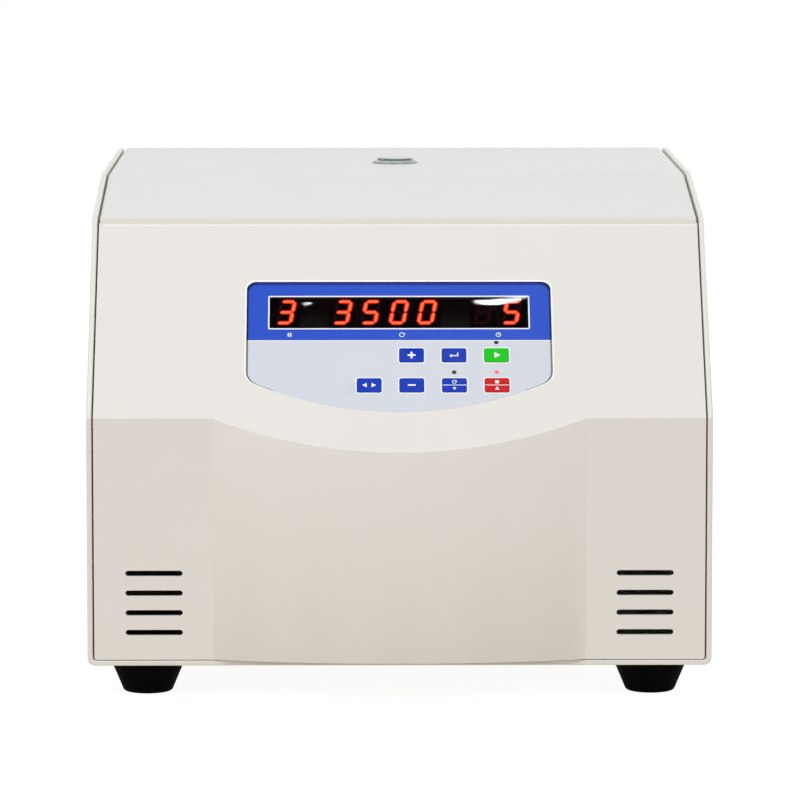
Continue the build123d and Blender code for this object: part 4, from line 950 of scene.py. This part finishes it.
SPLIT_GAP = 0.001 * MM
EDGE_ROUND = {
    "overlay": 0.1 * MM,
    "outer_shell": 0.15 * MM,
    "rear_panel": 0.2 * MM,
    "lid_shell": 0.2 * MM,
    "deck": 0.2 * MM,
    "feet": 0.3 * MM,
    "mains_inlet": 0.3 * MM,
    "switch_frame": 0.3 * MM,
    "switch_rocker": 0.4 * MM,
    "rotor_head": 0.4 * MM,
    "rotor_nut": 0.3 * MM,
    "striker": 0.2 * MM,
    "hinge_body_screws": 0.25 * MM,
    "hinge_lid_screws": 0.25 * MM,
}
for name in nodes:
    if name.startswith("key_"):
        EDGE_ROUND[name] = 0.25 * MM
    if name.startswith("bucket_") and "cushion" not in name:
        EDGE_ROUND[name] = 0.3 * MM


def soften(name, width, least_angle=32, rim=None):
    """Join split points and round the sharp edges of a node by modifiers."""
    weld = nodes[name].modifiers.new("weld", "WELD")
    weld.merge_threshold = SPLIT_GAP
    edge = nodes[name].modifiers.new("edge", "BEVEL")
    edge.width = width
    edge.segments = 2
    edge.limit_method = "ANGLE"
    edge.angle_limit = radians(least_angle)
    edge.harden_normals = True
    if rim is not None:
        nodes[name].data.materials.append(rim)
        edge.material = len(nodes[name].data.materials) - 1


for name, width in EDGE_ROUND.items():
    soften(name, width)
# the panel's bevels get the painted highlight material
soften("front_panel", 0.6 * MM, least_angle=40, rim=panel_rim_highlight)


# Floor, world and lamps

WHITE = (1, 1, 1, 1)
FLOOR_HALF = 30.0
SKY_LIGHT = 0.43
FLOOR_SHARE = 0.67  # how much of what the camera sees of the floor is a white of its own
FLOOR_WHITE = 1.38
FLOOR_NEAR = 0.45  # the floor's colour changes between these distances from the middle: painted light, paler near the object so that more light bounces onto its lower front
FLOOR_FAR = 0.95
FLOOR_COLOUR = srgb(236, 227, 216)
FLOOR_COLOUR_FAR = srgb(203, 194, 183)
PAPER_FLECK = 20 * MM
LAMP_SIZE = 1.4
COOL = (0.93, 0.97, 1.0)


def seen_directly(tree):
    """1 for the camera, mirrors and clear things, and 0 for light on dull surfaces."""
    rays = add(tree, "ShaderNodeLightPath").outputs
    mirrored = maths(tree, "MAXIMUM", rays["Is Camera Ray"], rays["Is Glossy Ray"])
    return maths(tree, "MAXIMUM", mirrored, rays["Is Transmission Ray"])


def pale_floor():
    """A wide pale floor that keeps the shadow and ends in white."""
    mesh = bpy.data.meshes.new("floor")
    corners = [(FLOOR_HALF * x, FLOOR_HALF * y, 0) for x, y in ((-1, -1), (1, -1), (1, 1), (-1, 1))]
    mesh.from_pydata(corners, [], [(0, 1, 2, 3)])
    material, tree, shader = new_material("floor_white", Roughness=0.9, Specular_IOR_Level=0.0)
    reach = vector_maths(tree, "LENGTH", place(tree)).outputs["Value"]
    away = add(
        tree, "ShaderNodeMapRange", {"Value": reach, "From Min": FLOOR_NEAR, "From Max": FLOOR_FAR}
    ).outputs[0]
    # painted light: paler near the middle, darker far out
    plain = blend(tree, away, FLOOR_COLOUR, FLOOR_COLOUR_FAR)
    flecks = between(tree, noise(tree, PAPER_FLECK), 0.0, 0.06)
    tree.links.new(blend(tree, flecks, plain, WHITE[:3]), shader.inputs["Base Color"])
    share = maths(tree, "MULTIPLY", seen_directly(tree), FLOOR_SHARE)
    white = add(tree, "ShaderNodeEmission", {"Color": WHITE, "Strength": FLOOR_WHITE})
    mixed = add(tree, "ShaderNodeMixShader", {0: share, 1: shader.outputs[0], 2: white.outputs[0]})
    tree.links.new(mixed.outputs[0], tree.nodes["Material Output"].inputs["Surface"])
    mesh.materials.append(material)
    new_object("floor", mesh)


def white_world():
    """White to the camera and in reflections, softer as a light."""
    world = bpy.data.worlds.new("studio")
    world.use_nodes = True
    tree = world.node_tree
    tree.nodes.clear()
    level = between(tree, seen_directly(tree), SKY_LIGHT, 1.0)
    light = add(tree, "ShaderNodeBackground", {"Color": WHITE, "Strength": level})
    add(tree, "ShaderNodeOutputWorld", {"Surface": light.outputs[0]})
    bpy.context.scene.world = world


def area_lamp(name, where, target, power, colour):
    """A square soft lamp that faces a target."""
    data = bpy.data.lights.new(name, "AREA")
    data.shape = "SQUARE"
    data.size = LAMP_SIZE
    data.energy = power
    data.color = colour
    light = new_object(name, data)
    light.location = where
    light.rotation_euler = (Vector(target) - Vector(where)).to_track_quat("-Z", "Y").to_euler()


pale_floor()
white_world()
area_lamp("lamp_key", (-0.2, -1.78, 2.5), (0, 0, 0.2), 41, COOL)
area_lamp("lamp_back", (0.1, 1.0, 2.6), (0, 0, 0.2), 4.5, COOL)
area_lamp("lamp_rear", (1.9, 2.2, 0.9), (0, 0, 0.15), 20, (1.0, 0.98, 0.95))
area_lamp("lamp_left", (-2.6, -1.7, 0.8), (0, 0, 0.15), 8, (1.0, 0.9, 0.82))


# Camera: long lens, a little above, turned slightly to the right

CAMERA_PLACE = (-27.2 * MM, -3104.1 * MM, 498.1 * MM)
CAMERA_PITCH = 6.501
CAMERA_YAW = 0.544

camera_data = bpy.data.cameras.new("camera")
camera_data.sensor_width = 36
camera_data.lens = 234
camera_data.clip_end = 200
camera = new_object("camera", camera_data)
camera.location = CAMERA_PLACE
camera.rotation_euler = (radians(90 - CAMERA_PITCH), 0, radians(-CAMERA_YAW))
bpy.context.scene.camera = camera
bpy.context.scene.view_settings.view_transform = "Standard"


# Two bright studio cards, placed where the display window mirrors them to the camera

GLARE_REACH = 0.8  # from the window to the cards
GLARE_STRENGTH = 1000
WINDOW_LIFT = 0.35 * MM
GLARE_SPOTS = {  # x and up from the middle of the window, in mm
    "card_right": [
        (41.2, 8.2), (46.0, 9.2), (52.8, 9.5), (60.2, 10.1), (66.4, 10.8), (72.3, 11.1), (72.6, 10.4),
        (68.7, 9.0), (64.1, 7.6), (59.0, 6.2), (53.9, 5.4), (48.8, 6.0), (44.8, 7.0),
    ],
    "card_left": [(-56.0, 6.1), (-53.5, 6.9), (-49.3, 7.2), (-49.8, 6.5), (-53.5, 5.9)],
}

card_light = lamp("card_light", (1.0, 1.0, 1.0), GLARE_STRENGTH)
for name, spots in GLARE_SPOTS.items():
    corners = []
    for x, up in spots:
        spot = face @ Vector((x * MM, window_middle + up * MM, WINDOW_LIFT))
        ray = (spot - camera.location).normalized()
        corners.append(spot + (ray - 2 * ray.dot(outward) * outward) * GLARE_REACH)
    mesh = bpy.data.meshes.new(name)
    mesh.from_pydata(corners, [], [range(len(corners))])
    mesh.materials.append(card_light)
    card = new_object(name, mesh)
    card.visible_camera = False
    card.visible_diffuse = False
